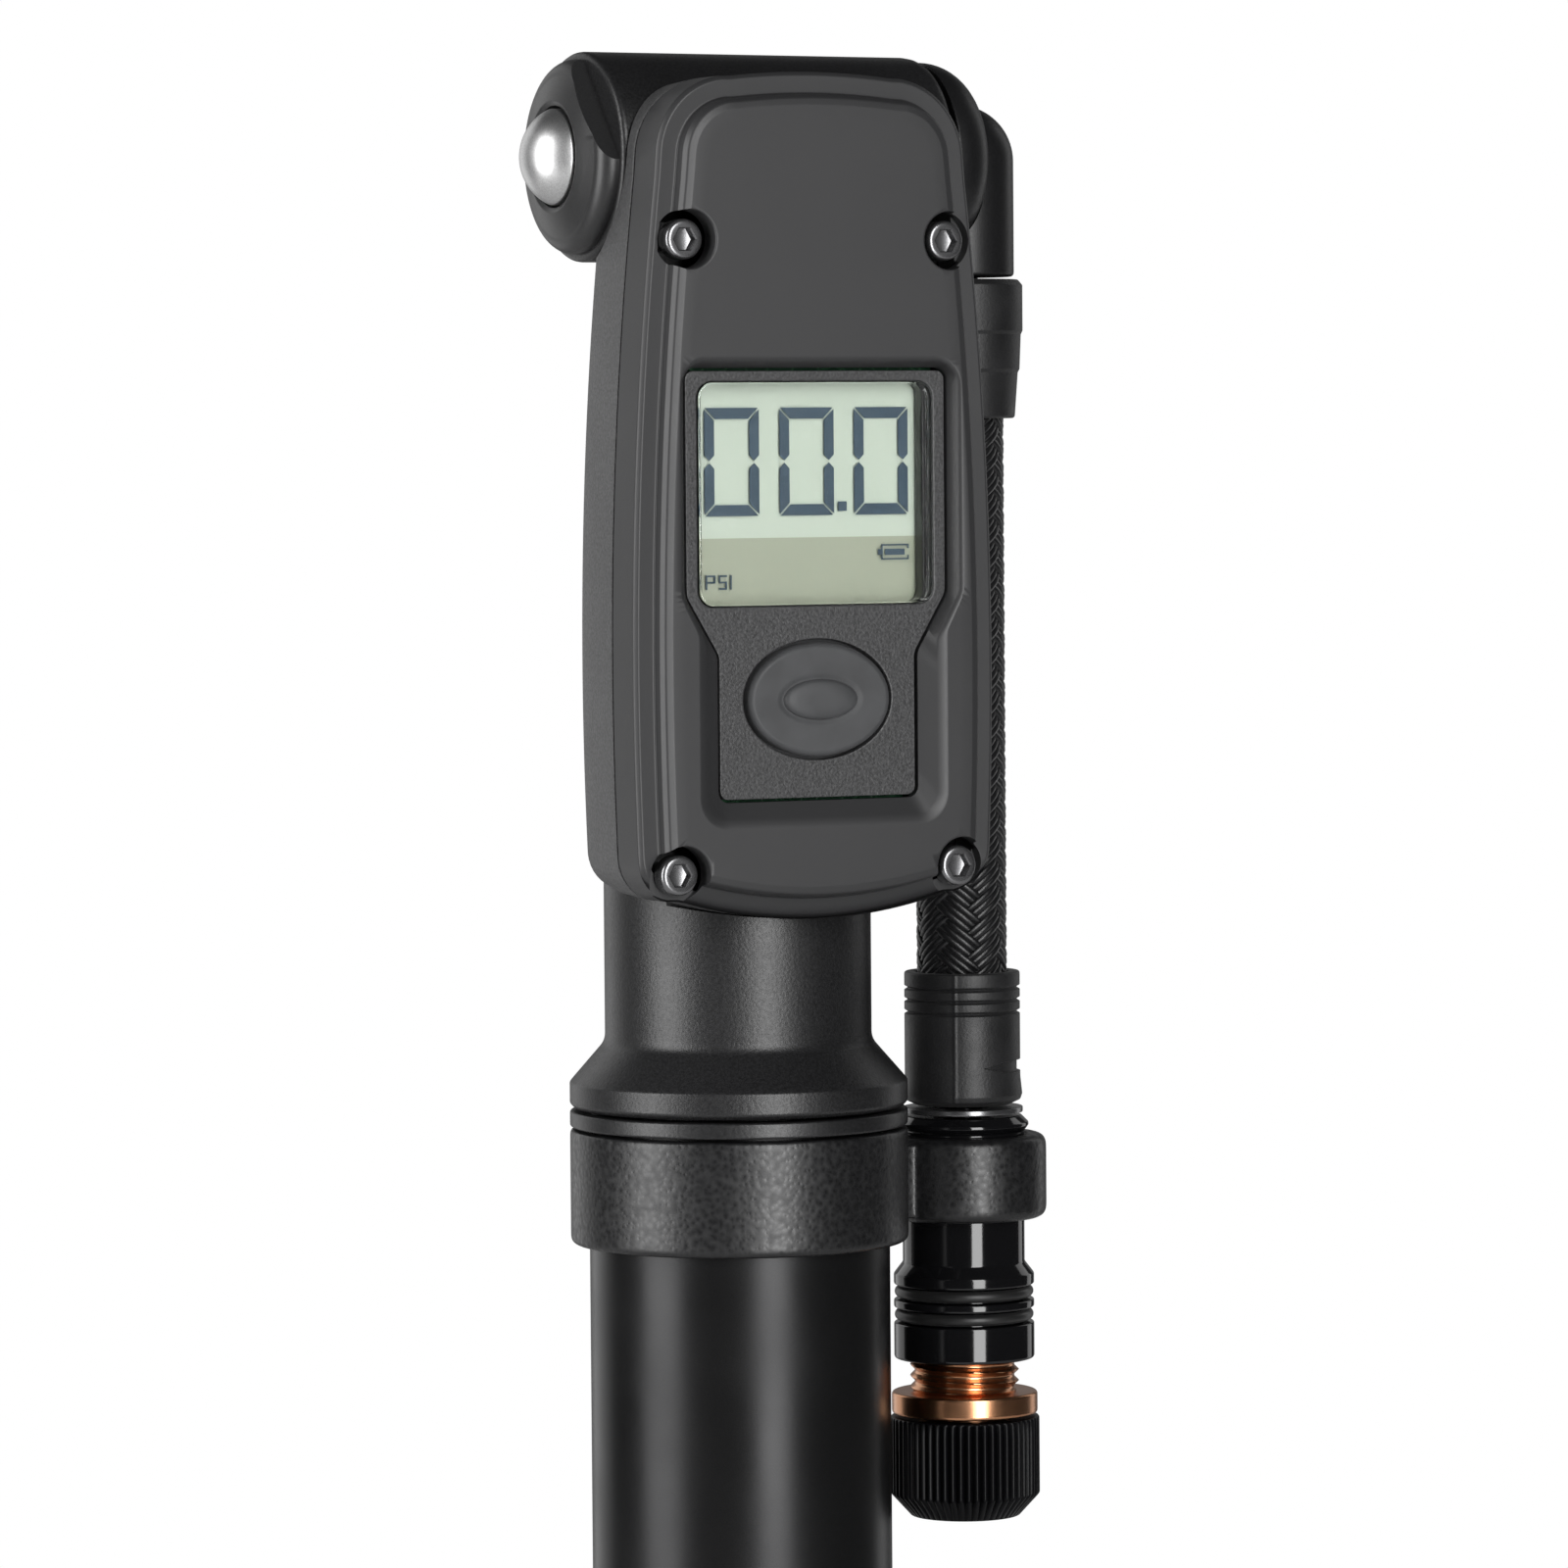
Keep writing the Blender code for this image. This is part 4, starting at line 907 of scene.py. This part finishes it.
def add_yarn(path, sides, verts, faces):
    """Add a flattened tube round a path that goes round the hose's axis."""
    start = len(verts)
    for i, point in enumerate(path):
        along = (path[min(i + 1, len(path) - 1)] - path[max(i - 1, 0)]).normalized()
        out = Vector((point.x - HOSE_X, point.y, 0)).normalized()
        across = along.cross(out).normalized()
        out = across.cross(along)
        for k in range(sides):
            angle = 2 * math.pi * k / sides
            outward = YARN_R * YARN_FLATNESS * math.cos(angle)
            sideways = YARN_R * math.sin(angle)
            verts.append(point + out * outward + across * sideways)
    for i in range(len(path) - 1):
        row = start + i * sides
        for k in range(sides):
            after = (k + 1) % sides
            faces.append((row + k, row + after, row + sides + after, row + sides + k))
    faces.append(tuple(start + k for k in reversed(range(sides))))
    last = start + (len(path) - 1) * sides
    faces.append(tuple(last + k for k in range(sides)))


def make_hose():
    """The hose's liner and its braid of three-yarn bands."""
    low, high = box_mm("braided_hose")
    bottom = box_mm("lower_boot")[1].z - 3.0
    top = box_mm("upper_boot")[0].z + 3.0
    bore = 2.5
    end_r = HOSE_R - 0.2
    braided_r = 4.0
    liner = [(bore, high.z), (end_r, high.z), (end_r, top, 0), (braided_r, top - 0.5, 0),
             (braided_r, bottom + 0.5, 0), (end_r, bottom, 0), (end_r, low.z), (bore, low.z)]
    turned("hose_liner", liner, "liner", "rubber_black", "hose", "braided_hose", 0.1, at=HOSE, steps=72)
    verts = []
    faces = []
    strands = 24
    for direction in (1, -1):
        for strand in range(strands):
            path = braid_strand(strand, strands, 3, direction, bottom, top)
            add_yarn(path, 6, verts, faces)
    braid = new_object("hose_braid", verts, faces)
    finish(braid, "yarn", "hose", "braided_hose", sharp=70)


def make_connector():
    """The glossy connector body and the two O-rings in its grooves."""
    low, high = box_mm("connector_body")
    seals = {name: box_mm(name) for name in ("connector_seal_upper", "connector_seal_lower")}
    outer = 7.6
    waist = 6.6
    groove = outer - 1.2
    barb = 2.1
    profile = [(0, high.z), (barb, high.z), (barb, 182.0), (6.3, 182.0, 0.3), (7.1, 181.2, 0.3),
               (7.1, 180.9, 0.2), (6.8, 180.5, 0.2), (waist, 180.3, 0.3), (waist, 166.1, 0.5),
               (outer, 164.8, 0.5)]
    for seal_low, seal_high in seals.values():
        top = seal_high.z + 0.25
        bottom = seal_low.z - 0.25
        profile += [(outer, top, 0.25), (groove, top, 0.1), (groove, bottom, 0.1),
                    (outer, bottom, 0.25)]
    profile += [(outer, low.z, 0.4), (6.2, low.z, 0.2), (6.2, 164.4), (4.3, 164.4), (4.3, 166.0),
                (0, 166.0)]
    turned("connector", profile, "gloss", "gloss_black", "hose", "connector_body", 0.1,
           closed=False, bend=6, at=HOSE)
    for name, (seal_low, seal_high) in seals.items():
        minor = (seal_high.z - seal_low.z) / 2 * 1.1
        major = radius_of(name) - minor
        ring = [(major + r, h) for r, h in arc((0, 0), minor, 90, -250, 17)]
        seal = revolve(name + "_ring", ring, (HOSE_X, 0, (seal_low.z + seal_high.z) / 2))
        finish(seal, "seal", "hose", name)


def make_sleeve():
    """The copper sleeve, with a real thread above its flange."""
    flange_low = SLEEVE_LOW.z + 2.7
    flange_high = 152.0
    flange_r = radius_of("threaded_sleeve")
    bore = 2.0
    neck_r = 5.0
    thread_r = 5.9
    thread_depth = 0.5
    thread_top = SLEEVE_HIGH.z - 0.2
    pitch = 1.2
    spacing = 0.1
    rows = int((thread_top - flange_high) / spacing)
    profile = [(bore, SLEEVE_HIGH.z), (thread_r - thread_depth, SLEEVE_HIGH.z)]
    profile += [(thread_r, thread_top - spacing * i) for i in range(rows)]
    profile += soften_corners([(thread_r - 0.3, flange_high), (flange_r, flange_high, 0.4),
                               (flange_r, flange_low, 0.4), (neck_r, flange_low),
                               (neck_r, SLEEVE_LOW.z), (bore, SLEEVE_LOW.z)], 0.2, steps=6)

    def threaded(radius, height, angle):
        if radius != thread_r:
            return radius
        turn = (height / pitch + angle / (2 * math.pi)) % 1.0
        ridge = min(1.0, abs(2 * turn - 1) * 1.25)
        return thread_r - thread_depth * ridge

    sleeve = revolve("copper_sleeve", profile, HOSE, shape=threaded)
    finish(sleeve, "copper", "chuck", "threaded_sleeve", sharp=60)


def make_valve_cap():
    """The cap that turns on the tyre valve, with straight rounded flutes."""
    outer = radius_of("valve_cap")
    socket = 4.0
    socket_top = 144.3
    neck = 5.3
    flutes = 56
    flute_depth = 0.42
    smooth_r = 6.4
    chamfer_top = 140.9
    profile = [(neck, CAP_HIGH.z), (outer, CAP_HIGH.z, 0.35), (outer, chamfer_top, 0.6),
               (5.9, CAP_LOW.z, 0.3), (socket, CAP_LOW.z, 0.3), (socket, socket_top),
               (neck, socket_top)]
    profile = soften_corners(profile, 0.1, True, 6)
    column = [(outer, CAP_HIGH.z - 0.6 - 0.5 * i) for i in range(1, 14)]
    start = max(i for i, p in enumerate(profile) if p[1] > CAP_HIGH.z - 0.6 and p[0] > 6)
    profile[start + 1:start + 1] = column

    def fluted(radius, height, angle):
        """Ridges that fade out at the top edge and on the chamfer."""
        if radius < smooth_r:
            return radius
        valley = 1 - abs(math.cos(flutes * angle / 2)) ** 0.8
        fade = min(1.0, max(0.0, (CAP_HIGH.z - height) / 0.5)) * min(1.0, (radius - smooth_r) / 0.9)
        return radius - flute_depth * valley * fade

    cap = revolve("knurled_cap", profile, HOSE, steps=flutes * 10, shape=fluted)
    finish(cap, "cap", "chuck", "valve_cap", sharp=60)


# ------------------------------------------------------------------ gauge

def gauge_outline(inset):
    """The gauge's outline moved inwards: bowed sides, arched ends and round corners."""
    widest_z = 231.5
    bow = 1.3 / 34.0 ** 2
    top_arch = 0.9 / 12.0 ** 2
    bottom_arch = 2.4 / 16.0 ** 2

    def side(z):
        return FRONT_HIGH.x - inset - bow * (z - widest_z) ** 2

    def corner(edge, arch, radius, sign):
        """Centre, end angle and side angle of the arc between a side and the top or bottom edge."""
        x = side(edge) - radius
        z = edge - sign * radius
        for _ in range(20):
            tilt = math.atan(2 * bow * (z - widest_z))
            lean = math.atan(2 * arch * x)
            x = side(z) - radius * math.cos(tilt)
            z = edge - sign * (arch * x ** 2 + radius * math.cos(lean))
        return (x, z), sign * (90 - math.degrees(lean)), math.degrees(tilt)

    radius = max(8.5 - inset, 2.0)
    low_radius = max(4.9 - inset * 0.8, 1.6)
    upper, upper_end, upper_side = corner(FRONT_HIGH.z - inset, top_arch, radius, 1)
    lower, lower_end, lower_side = corner(FRONT_LOW.z + inset, bottom_arch, low_radius, -1)
    upper_arc = arc(upper, radius, upper_end, upper_side, 24)
    lower_arc = arc(lower, low_radius, lower_side, lower_end, 20)
    edge_steps = 12
    right = []
    for i in range(edge_steps):
        x = upper_arc[0][0] * i / edge_steps
        right.append((x, FRONT_HIGH.z - inset - top_arch * x ** 2))
    right += upper_arc
    for i in range(1, 2 * edge_steps):
        z = upper_arc[-1][1] + (lower_arc[0][1] - upper_arc[-1][1]) * i / (2 * edge_steps)
        right.append((side(z), z))
    right += lower_arc
    for i in range(edge_steps - 1, -1, -1):
        x = lower_arc[-1][0] * i / edge_steps
        right.append((x, FRONT_LOW.z + inset + bottom_arch * x ** 2))
    return resample(mirrored(right))


def recess_outline(depth, inset=0.0):
    """The recess in the face, wide round the window and narrower round the button.

    Its walls slope in from the face, at depth 0, to their foot, at depth 1.
    """
    wide = 16.2 - 0.8 * depth - inset
    narrow = 14.1 - 2.4 * depth - inset
    top = 263.3 - 0.8 * depth - inset
    bottom = 215.3 + 2.3 * depth + inset
    radius = 2.9 - 1.7 * depth - inset
    shoulder = 239.0
    waist = 235.0 - 2.2 * depth
    right = [(0, top)] + arc((wide - radius, top - radius), radius, 90, 0, 12)
    step = [(wide, shoulder + 4.0), (wide, shoulder, 2.0), (narrow, waist, 2.0), (narrow, waist - 4.0)]
    right += soften_corners(step, 2.0, steps=6)
    right += arc((narrow - radius, bottom + radius), radius, 0, -90, 12) + [(0, bottom)]
    return resample(mirrored(right))


def screw_wells(name, radius, front, back, flare):
    """Cutters for the four screw wells, flared at the front so that the edge comes out rounded."""
    lip = [(radius + inset, front - depth) for inset, depth in quarter_round(flare, 4)]
    profile = [(0, front + 2.0), (radius + flare, front + 2.0)] + lip + [(radius, back), (0, back)]
    return [revolve(f"{name}_{i}", profile, (x, 0, z), "-Y", 64) for i, (x, z) in enumerate(SCREWS)]


def front_section(inset, depth, rim):
    """A section of the front shell, whose rim falls back along the bottom edge."""
    ledge = 2.25
    fall = 1.5 * max(0.0, 1 - inset / ledge) if depth < rim + 0.6 else 0.0
    points = []
    for x, z in gauge_outline(inset):
        t = min(max((FRONT_LOW.z + 6.0 - z) / 4.0, 0.0), 1.0)
        points.append((x, depth + fall * t * t * (3 - 2 * t), z))
    return points


def make_front_shell():
    """Rim, sloping band and raised face, hollow behind, with the recess and screw wells cut in."""
    seam = FRONT_HIGH.y
    rim = FACE_Y + 1.85
    inside = FACE_Y + 2.6
    path = [(SHELL_WALL, inside), (SHELL_WALL, seam), (0, seam, 0.15), (0, rim + 0.4, 0.5),
            (0.4, rim, 0.35), (2.25, rim + 0.05, 0.25), (2.4, FACE_Y + 0.9, 0.3),
            (2.75, FACE_Y + 0.3, 0.5), (3.5, FACE_Y + 0.06, 0.7), (5.0, FACE_Y)]
    path = soften_corners(path, 0.2, steps=6)
    shell = loft("gauge_front", [(y, front_section(inset, y, rim)) for inset, y in path])
    foot = PLATE_Y - 0.1
    slope = foot - FACE_Y
    lip = 0.45
    cutter = [(FACE_Y - 1.0, recess_outline(0, -lip))]
    for rounding, depth in quarter_round(lip, 6):
        cutter.append((FACE_Y + depth, recess_outline(depth / slope, -rounding)))
    cutter += [(foot, recess_outline(1.0)), (inside + 1.0, recess_outline(1.0))]
    combine(shell, [loft("face_recess", cutter)] + screw_wells("screw_well", 3.05, -FACE_Y, 17.4, 0.25))
    finish(shell, "shell", "pump_body", "gauge_front_shell", sharp=35)


def make_rear_shell():
    """The rounded back shell, cut away where it sits over the neck and the cross cylinder."""
    seam = REAR_LOW.y
    back = REAR_HIGH.y
    path = [(SHELL_WALL, -9.1), (SHELL_WALL, seam), (0, seam, 0.15), (0.3, -8.0), (0.9, -4.4),
            (1.9, -2.7), (3.2, back)]
    path = soften_corners(path, 1.2, steps=6)
    shell = loft("gauge_rear", [(y, gauge_outline(inset)) for inset, y in path])
    far = 40
    neck = plug("neck_space", NECK_R + GAP, 180, 330)
    combine(neck, [bar("neck_space_flat", (-far, -far, 170), (far, NECK_FLAT_Y - GAP, 340))])
    cross = plug("cross_space", CROSS_R + GAP + 0.2, -far, far, CROSS, "X")
    combine(shell, [neck, cross])
    finish(shell, "rear", "pump_body", "gauge_rear_shell", sharp=35)


def make_plate():
    """The speckled plate in the recess, with eased edges round its window and button holes."""
    back = PLATE_HIGH.y
    edge = [(PLATE_Y, 0.12), (PLATE_Y + 0.04, 0.04), (PLATE_Y + 0.12, 0.0), (back, 0.0)]
    plate = loft("speckled_plate", [(y, recess_outline(1.0, GAP + inset)) for y, inset in edge])
    window_edge = [(PLATE_Y - 1.0, 0.35), (PLATE_Y, 0.35), (PLATE_Y + 0.06, 0.2),
                   (PLATE_Y + 0.25, 0.1), (back + 1.0, 0.1)]
    window = [(y, window_outline(margin)) for y, margin in window_edge]
    button_edge = [(PLATE_Y - 1.0, 0.25), (PLATE_Y, 0.25), (PLATE_Y + 0.07, 0.08),
                   (PLATE_Y + 0.25, 0.0), (back + 1.0, 0.0)]
    width = MODE_WIDTH + 0.7
    height = MODE_HEIGHT + 0.7
    button = [(y, oval(width + 2 * margin, height + 2 * margin, MODE_Z)) for y, margin in button_edge]
    combine(plate, [loft("window_hole", window), loft("button_hole", button)])
    finish(plate, "plate", "pump_body", "display_plate", sharp=35)


def window_outline(margin=0.0):
    """The window's outline, moved outwards by a margin."""
    outline = rounded_box(WINDOW_HIGH.x + margin, WINDOW_LOW.z - margin, WINDOW_HIGH.z + margin,
                          WINDOW_RADIUS + margin)
    return resample(outline, WINDOW_POINTS)


def make_window():
    """The clear window and the gasket behind it."""
    lens = slab("window", window_outline(), WINDOW_LOW.y, WINDOW_HIGH.y, 0.18)
    finish(lens, "clear", "pump_body", "display_window")

    low, high = box_mm("window_gasket")
    outline = resample(rounded_box(high.x, low.z, high.z, 1.9), WINDOW_POINTS)
    gasket = slab("window_seal", outline, low.y, high.y)
    opening = rounded_box(12.9, WINDOW_LOW.z + 0.1, WINDOW_HIGH.z - 0.1, 1.2)
    combine(gasket, [slab("seal_hole", resample(opening, WINDOW_POINTS), low.y - 1, high.y + 1)])
    finish(gasket, "gloss", "pump_body", "window_gasket", sharp=30)


def make_display():
    """The display panel, with its digits on the glass in front of the reflector."""
    outline = resample(rounded_box(PANEL_HIGH.x, PANEL_LOW.z, PANEL_HIGH.z, 0.8), 160)
    panel = slab("display_reflector", outline, PANEL_LOW.y, PANEL_HIGH.y, 0.12)
    finish(panel, "display", "pump_body", "display_panel")

    shapes = []
    digit_left = -11.75
    digit_pitch = 8.72
    digit_bottom = 247.2
    for i in range(3):
        shapes += zero_digit(digit_left + digit_pitch * i, digit_bottom, 6.35, 11.2)
    shapes.append(box_outline(3.8, digit_bottom + 0.4, 4.8, digit_bottom + 1.4))
    shapes += battery_icon(8.45, 242.45, 3.65, 1.62)
    shapes += unit_letters(-11.7, 239.6, 1.5)
    digits = prisms("display_digits", shapes, PANEL_LOW.y - 0.32, PANEL_LOW.y - 0.27)
    finish(digits, "segment", "pump_body", "display_panel", sharp=20)


def prisms(name, shapes, front, back):
    """One object that gives each (x, z) shape a thickness from front to back."""
    verts = []
    faces = []
    for shape in shapes:
        count = len(shape)
        start = len(verts)
        verts += [(x, front, z) for x, z in shape] + [(x, back, z) for x, z in shape]
        faces.append(tuple(start + k for k in range(count)))
        faces.append(tuple(start + count + k for k in reversed(range(count))))
        for k in range(count):
            after = (k + 1) % count
            faces.append((start + k, start + count + k, start + count + after, start + after))
    return new_object(name, verts, faces)


def zero_digit(left, bottom, width, height):
    """Six segments of a seven-segment zero, each with mitred ends."""
    half = height / 2
    thick = 1.15
    gap = 0.12
    segments = []
    for sign in (1, -1):
        edge = bottom + half + sign * half
        inside = edge - sign * thick
        segments.append([(left + gap, edge), (left + width - gap, edge),
                         (left + width - thick - gap, inside), (left + thick + gap, inside)])
        for side in (0, 1):
            outer_x = left + width * side
            inner_x = outer_x + (thick if side == 0 else -thick)
            middle_x = (outer_x + inner_x) / 2
            waist = bottom + half + sign * gap
            segments.append([(outer_x, edge - sign * gap * 1.4), (inner_x, inside - sign * gap * 1.4),
                             (inner_x, waist + sign * thick / 2), (middle_x, waist),
                             (outer_x, waist + sign * thick / 2)])
    return segments


def battery_icon(left, bottom, width, height):
    """A small battery: an outline that is open at its base, a terminal and a full cell."""
    line = 0.16
    stub = 0.3
    body = left + 0.4
    right = left + width
    top = bottom + height
    middle_z = bottom + height / 2
    return [box_outline(body, top - line, right, top),
            box_outline(body, bottom, right, bottom + line),
            box_outline(body, bottom + line, body + line, top - line),
            box_outline(right - line, bottom + line, right, bottom + line + stub),
            box_outline(right - line, top - line - stub, right, top - line),
            box_outline(left, middle_z - 0.3, body, middle_z + 0.3),
            box_outline(body + 0.42, middle_z - 0.32, right - 0.5, middle_z + 0.32)]


def unit_letters(left, bottom, height):
    """The pressure unit, drawn with plain bars."""
    line = 0.19
    width = 0.95
    pitch = 1.32
    middle_z = bottom + height / 2 - line / 2
    upper = bottom + height / 2 + line / 2
    short = height / 2 - 1.5 * line
    bars = []

    def across(x, z):
        bars.append(box_outline(x, z, x + width, z + line))

    def upright(x, z, tall):
        bars.append(box_outline(x, z, x + line, z + tall))

    upright(left, bottom, height)
    across(left + line, bottom + height - line)
    across(left + line, middle_z)
    upright(left + width, upper, short)
    second = left + pitch + line
    for z in (bottom, middle_z, bottom + height - line):
        across(second, z)
    upright(second, upper, short)
    upright(second + width - line, bottom + line, short)
    upright(left + 2 * pitch + line, bottom, height)
    return bars


def make_mode_button():
    """An oval rubber key with a raised lens-shaped crown inside a shallow gap."""
    top = MODE_LOW.y
    rim = FACE_Y + 0.95
    crown = [(0.0, 3.2, 1.2), (0.02, 5.6, 2.4), (0.12, 7.4, 3.4), (0.28, 8.2, 3.95), (0.5, 8.5, 4.15)]
    moat = [(0.12, 8.6, 4.25), (0.15, 9.0, 4.6), (0.02, 9.4, 5.0), (0.0, 10.2, 5.8)]
    steps = [(top + depth, width, height) for depth, width, height in crown]
    steps += [(rim + depth, width, height) for depth, width, height in moat]
    for inset, depth in quarter_round(0.65, 6):
        steps.append((rim + depth, MODE_WIDTH - 2 * inset, MODE_HEIGHT - 2 * inset))
    flange = PLATE_HIGH.y + GAP
    flange_back = -17.2
    wide = MODE_WIDTH + 2 * MODE_FLANGE
    tall = MODE_HEIGHT + 2 * MODE_FLANGE
    stem = 3.0
    steps += [(flange, MODE_WIDTH, MODE_HEIGHT), (flange, wide, tall), (flange_back, wide, tall),
              (flange_back, stem, stem), (MODE_HIGH.y, stem, stem)]
    key = loft("mode_key", [(y, oval(width, height, MODE_Z)) for y, width, height in steps])
    finish(key, "button", "mode_key", "mode_button", sharp=50)


def make_screws():
    """The four socket head screws of the gauge."""
    head_r = 2.1
    head_height = 2.0
    shank_r = 1.2
    hexagon = 1.25
    lead = 0.14
    for i, (x, z) in enumerate(SCREWS):
        name = f"gauge_screw_{i + 1}"
        low, high = box_mm(name)
        top = -low.y
        under = top - head_height
        profile = [(0, top), (head_r, top, 0.55), (head_r, under, 0.1), (shank_r, under),
                   (shank_r, -high.y), (0, -high.y)]
        profile = soften_corners(profile, 0.1, steps=6)
        screw = revolve(f"socket_screw_{i + 1}", profile, (x, 0, z), "-Y", 64)
        socket = [(0, top + 1.0), (hexagon + lead, top + 1.0), (hexagon + lead, top),
                  (hexagon, top - lead), (hexagon, top - 1.2), (0, top - 1.5)]
        combine(screw, [revolve("hex_socket", socket, (x, 0, z), "-Y", 6)])
        finish(screw, "screw", "pump_body", name, sharp=30)


def finish_hidden_nodes():
    """Give the CAD nodes that stay, all inside the pump, a material for their slot."""
    looks = {
        "seal": ("barrel_seal", "rod_wiper", "bleed_seal", "sensor_seal", "piston_seal",
                 "swivel_seal", "valve_gasket"),
        "steel": ("pump_cylinder", "check_ball", "check_spring", "bleed_spring", "coin_cell",
                  "pressure_sensor", "handle_screw"),
        "brass": ("valve_seat", "battery_clip", "piston", "bleed_pin", "depressor_pin"),
        "screw": ("mount_screw_1", "mount_screw_2"),
        "moulding": ("mode_switch",),
        "board": ("circuit_board",),
    }
    for look, nodes in looks.items():
        for node in nodes:
            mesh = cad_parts[node].data
            mesh.materials.clear()
            mesh.materials.append(LOOKS[look])


# ------------------------------------------------------------------ camera, light and stage

def make_camera():
    """The photograph's view: from the left of the gauge's face and a little above."""
    azimuth = math.radians(27)
    drop = math.radians(2.71)
    roll = math.radians(0.45)
    place = Vector((-344.66, -687.61, 254.92)) * MM
    level_part = math.cos(drop)
    forward = Vector((math.sin(azimuth) * level_part, math.cos(azimuth) * level_part, -math.sin(drop)))
    level = Vector((math.cos(azimuth), -math.sin(azimuth), 0))
    upward = level.cross(forward)
    right = level * math.cos(roll) - upward * math.sin(roll)
    up = level * math.sin(roll) + upward * math.cos(roll)
    data = bpy.data.cameras.new("camera")
    data.lens = 166.3
    data.sensor_width = 36.0
    camera = bpy.data.objects.new("camera", data)
    turn = Matrix((right, up, -forward)).transposed().to_4x4()
    camera.matrix_world = Matrix.Translation(place) @ turn
    bpy.context.scene.collection.objects.link(camera)
    bpy.context.scene.camera = camera


def softbox(name, azimuth, distance, width, power):
    """A tall soft light that faces the pump, at an azimuth in degrees from the gauge's face."""
    centre_z = 0.35
    aim_z = 0.2
    data = bpy.data.lights.new(name, "AREA")
    data.shape = "RECTANGLE"
    data.size = width
    data.size_y = 1.5
    data.energy = power
    light = bpy.data.objects.new(name, data)
    light.visible_camera = False
    angle = math.radians(azimuth)
    light.location = (distance * math.sin(angle), -distance * math.cos(angle), centre_z)
    aim = Vector((0, 0, aim_z)) - light.location
    light.rotation_euler = aim.to_track_quat("-Z", "Y").to_euler()
    bpy.context.scene.collection.objects.link(light)


def make_light():
    """Five softboxes, a faint ambient light and a white backdrop that only the camera sees."""
    softbox("softbox_front", -2, 1.3, 0.46, 22.0)
    softbox("softbox_left", -89, 1.3, 0.70, 21.0)
    softbox("softbox_right", 108, 1.3, 0.40, 1.6)
    softbox("softbox_rear", 196, 1.4, 0.90, 3.5)
    softbox("backdrop_glow", 162, 1.5, 1.9, 1.6)
    world = bpy.data.worlds.new("studio")
    world.use_nodes = True
    bpy.context.scene.world = world
    tree = world.node_tree
    ambient = tree.nodes["Background"]
    ambient.inputs["Color"].default_value = (0.80, 0.81, 0.83, 1.0)
    ambient.inputs["Strength"].default_value = 0.045
    backdrop = tree.nodes.new("ShaderNodeBackground")
    backdrop.inputs["Color"].default_value = (1.0, 1.0, 1.0, 1.0)
    backdrop.inputs["Strength"].default_value = 1.0
    mix = tree.nodes.new("ShaderNodeMixShader")
    path = tree.nodes.new("ShaderNodeLightPath")
    tree.links.new(path.outputs["Is Camera Ray"], mix.inputs["Fac"])
    tree.links.new(ambient.outputs["Background"], mix.inputs[1])
    tree.links.new(backdrop.outputs["Background"], mix.inputs[2])
    tree.links.new(mix.outputs["Shader"], tree.nodes["World Output"].inputs["Surface"])
    bpy.context.scene.view_settings.view_transform = "Standard"


def make_floor():
    """A plain pale disc that the pump stands on."""
    radius = 600.0
    height = -0.05
    steps = 96
    angles = [2 * math.pi * i / steps for i in range(steps)]
    verts = [(radius * math.cos(angle), radius * math.sin(angle), height) for angle in angles]
    floor = new_object("floor", verts, [tuple(range(steps))])
    m = Material("floor_pale")
    tone = m.range(m.noise(60.0, 3.0), 0.0, 1.0)
    m.colour(m.blend(tone, (0.80, 0.80, 0.80), (0.84, 0.84, 0.84)))
    m.roughness(m.range(m.noise(3.0), 0.6, 0.75))
    floor.data.materials.append(m.material)


LOOKS = make_materials()
make_camera()
make_light()
make_floor()
make_hose()
make_upper_boot()
make_lower_boot()
make_ferrule()
make_connector()
make_sleeve()
make_valve_cap()
make_swivel()
make_head()
make_ring_and_collar()
make_barrel()
make_handle()
make_rod()
make_bezel()
make_bleed_button()
make_front_shell()
make_rear_shell()
make_plate()
make_window()
make_display()
make_mode_button()
make_screws()
finish_hidden_nodes()
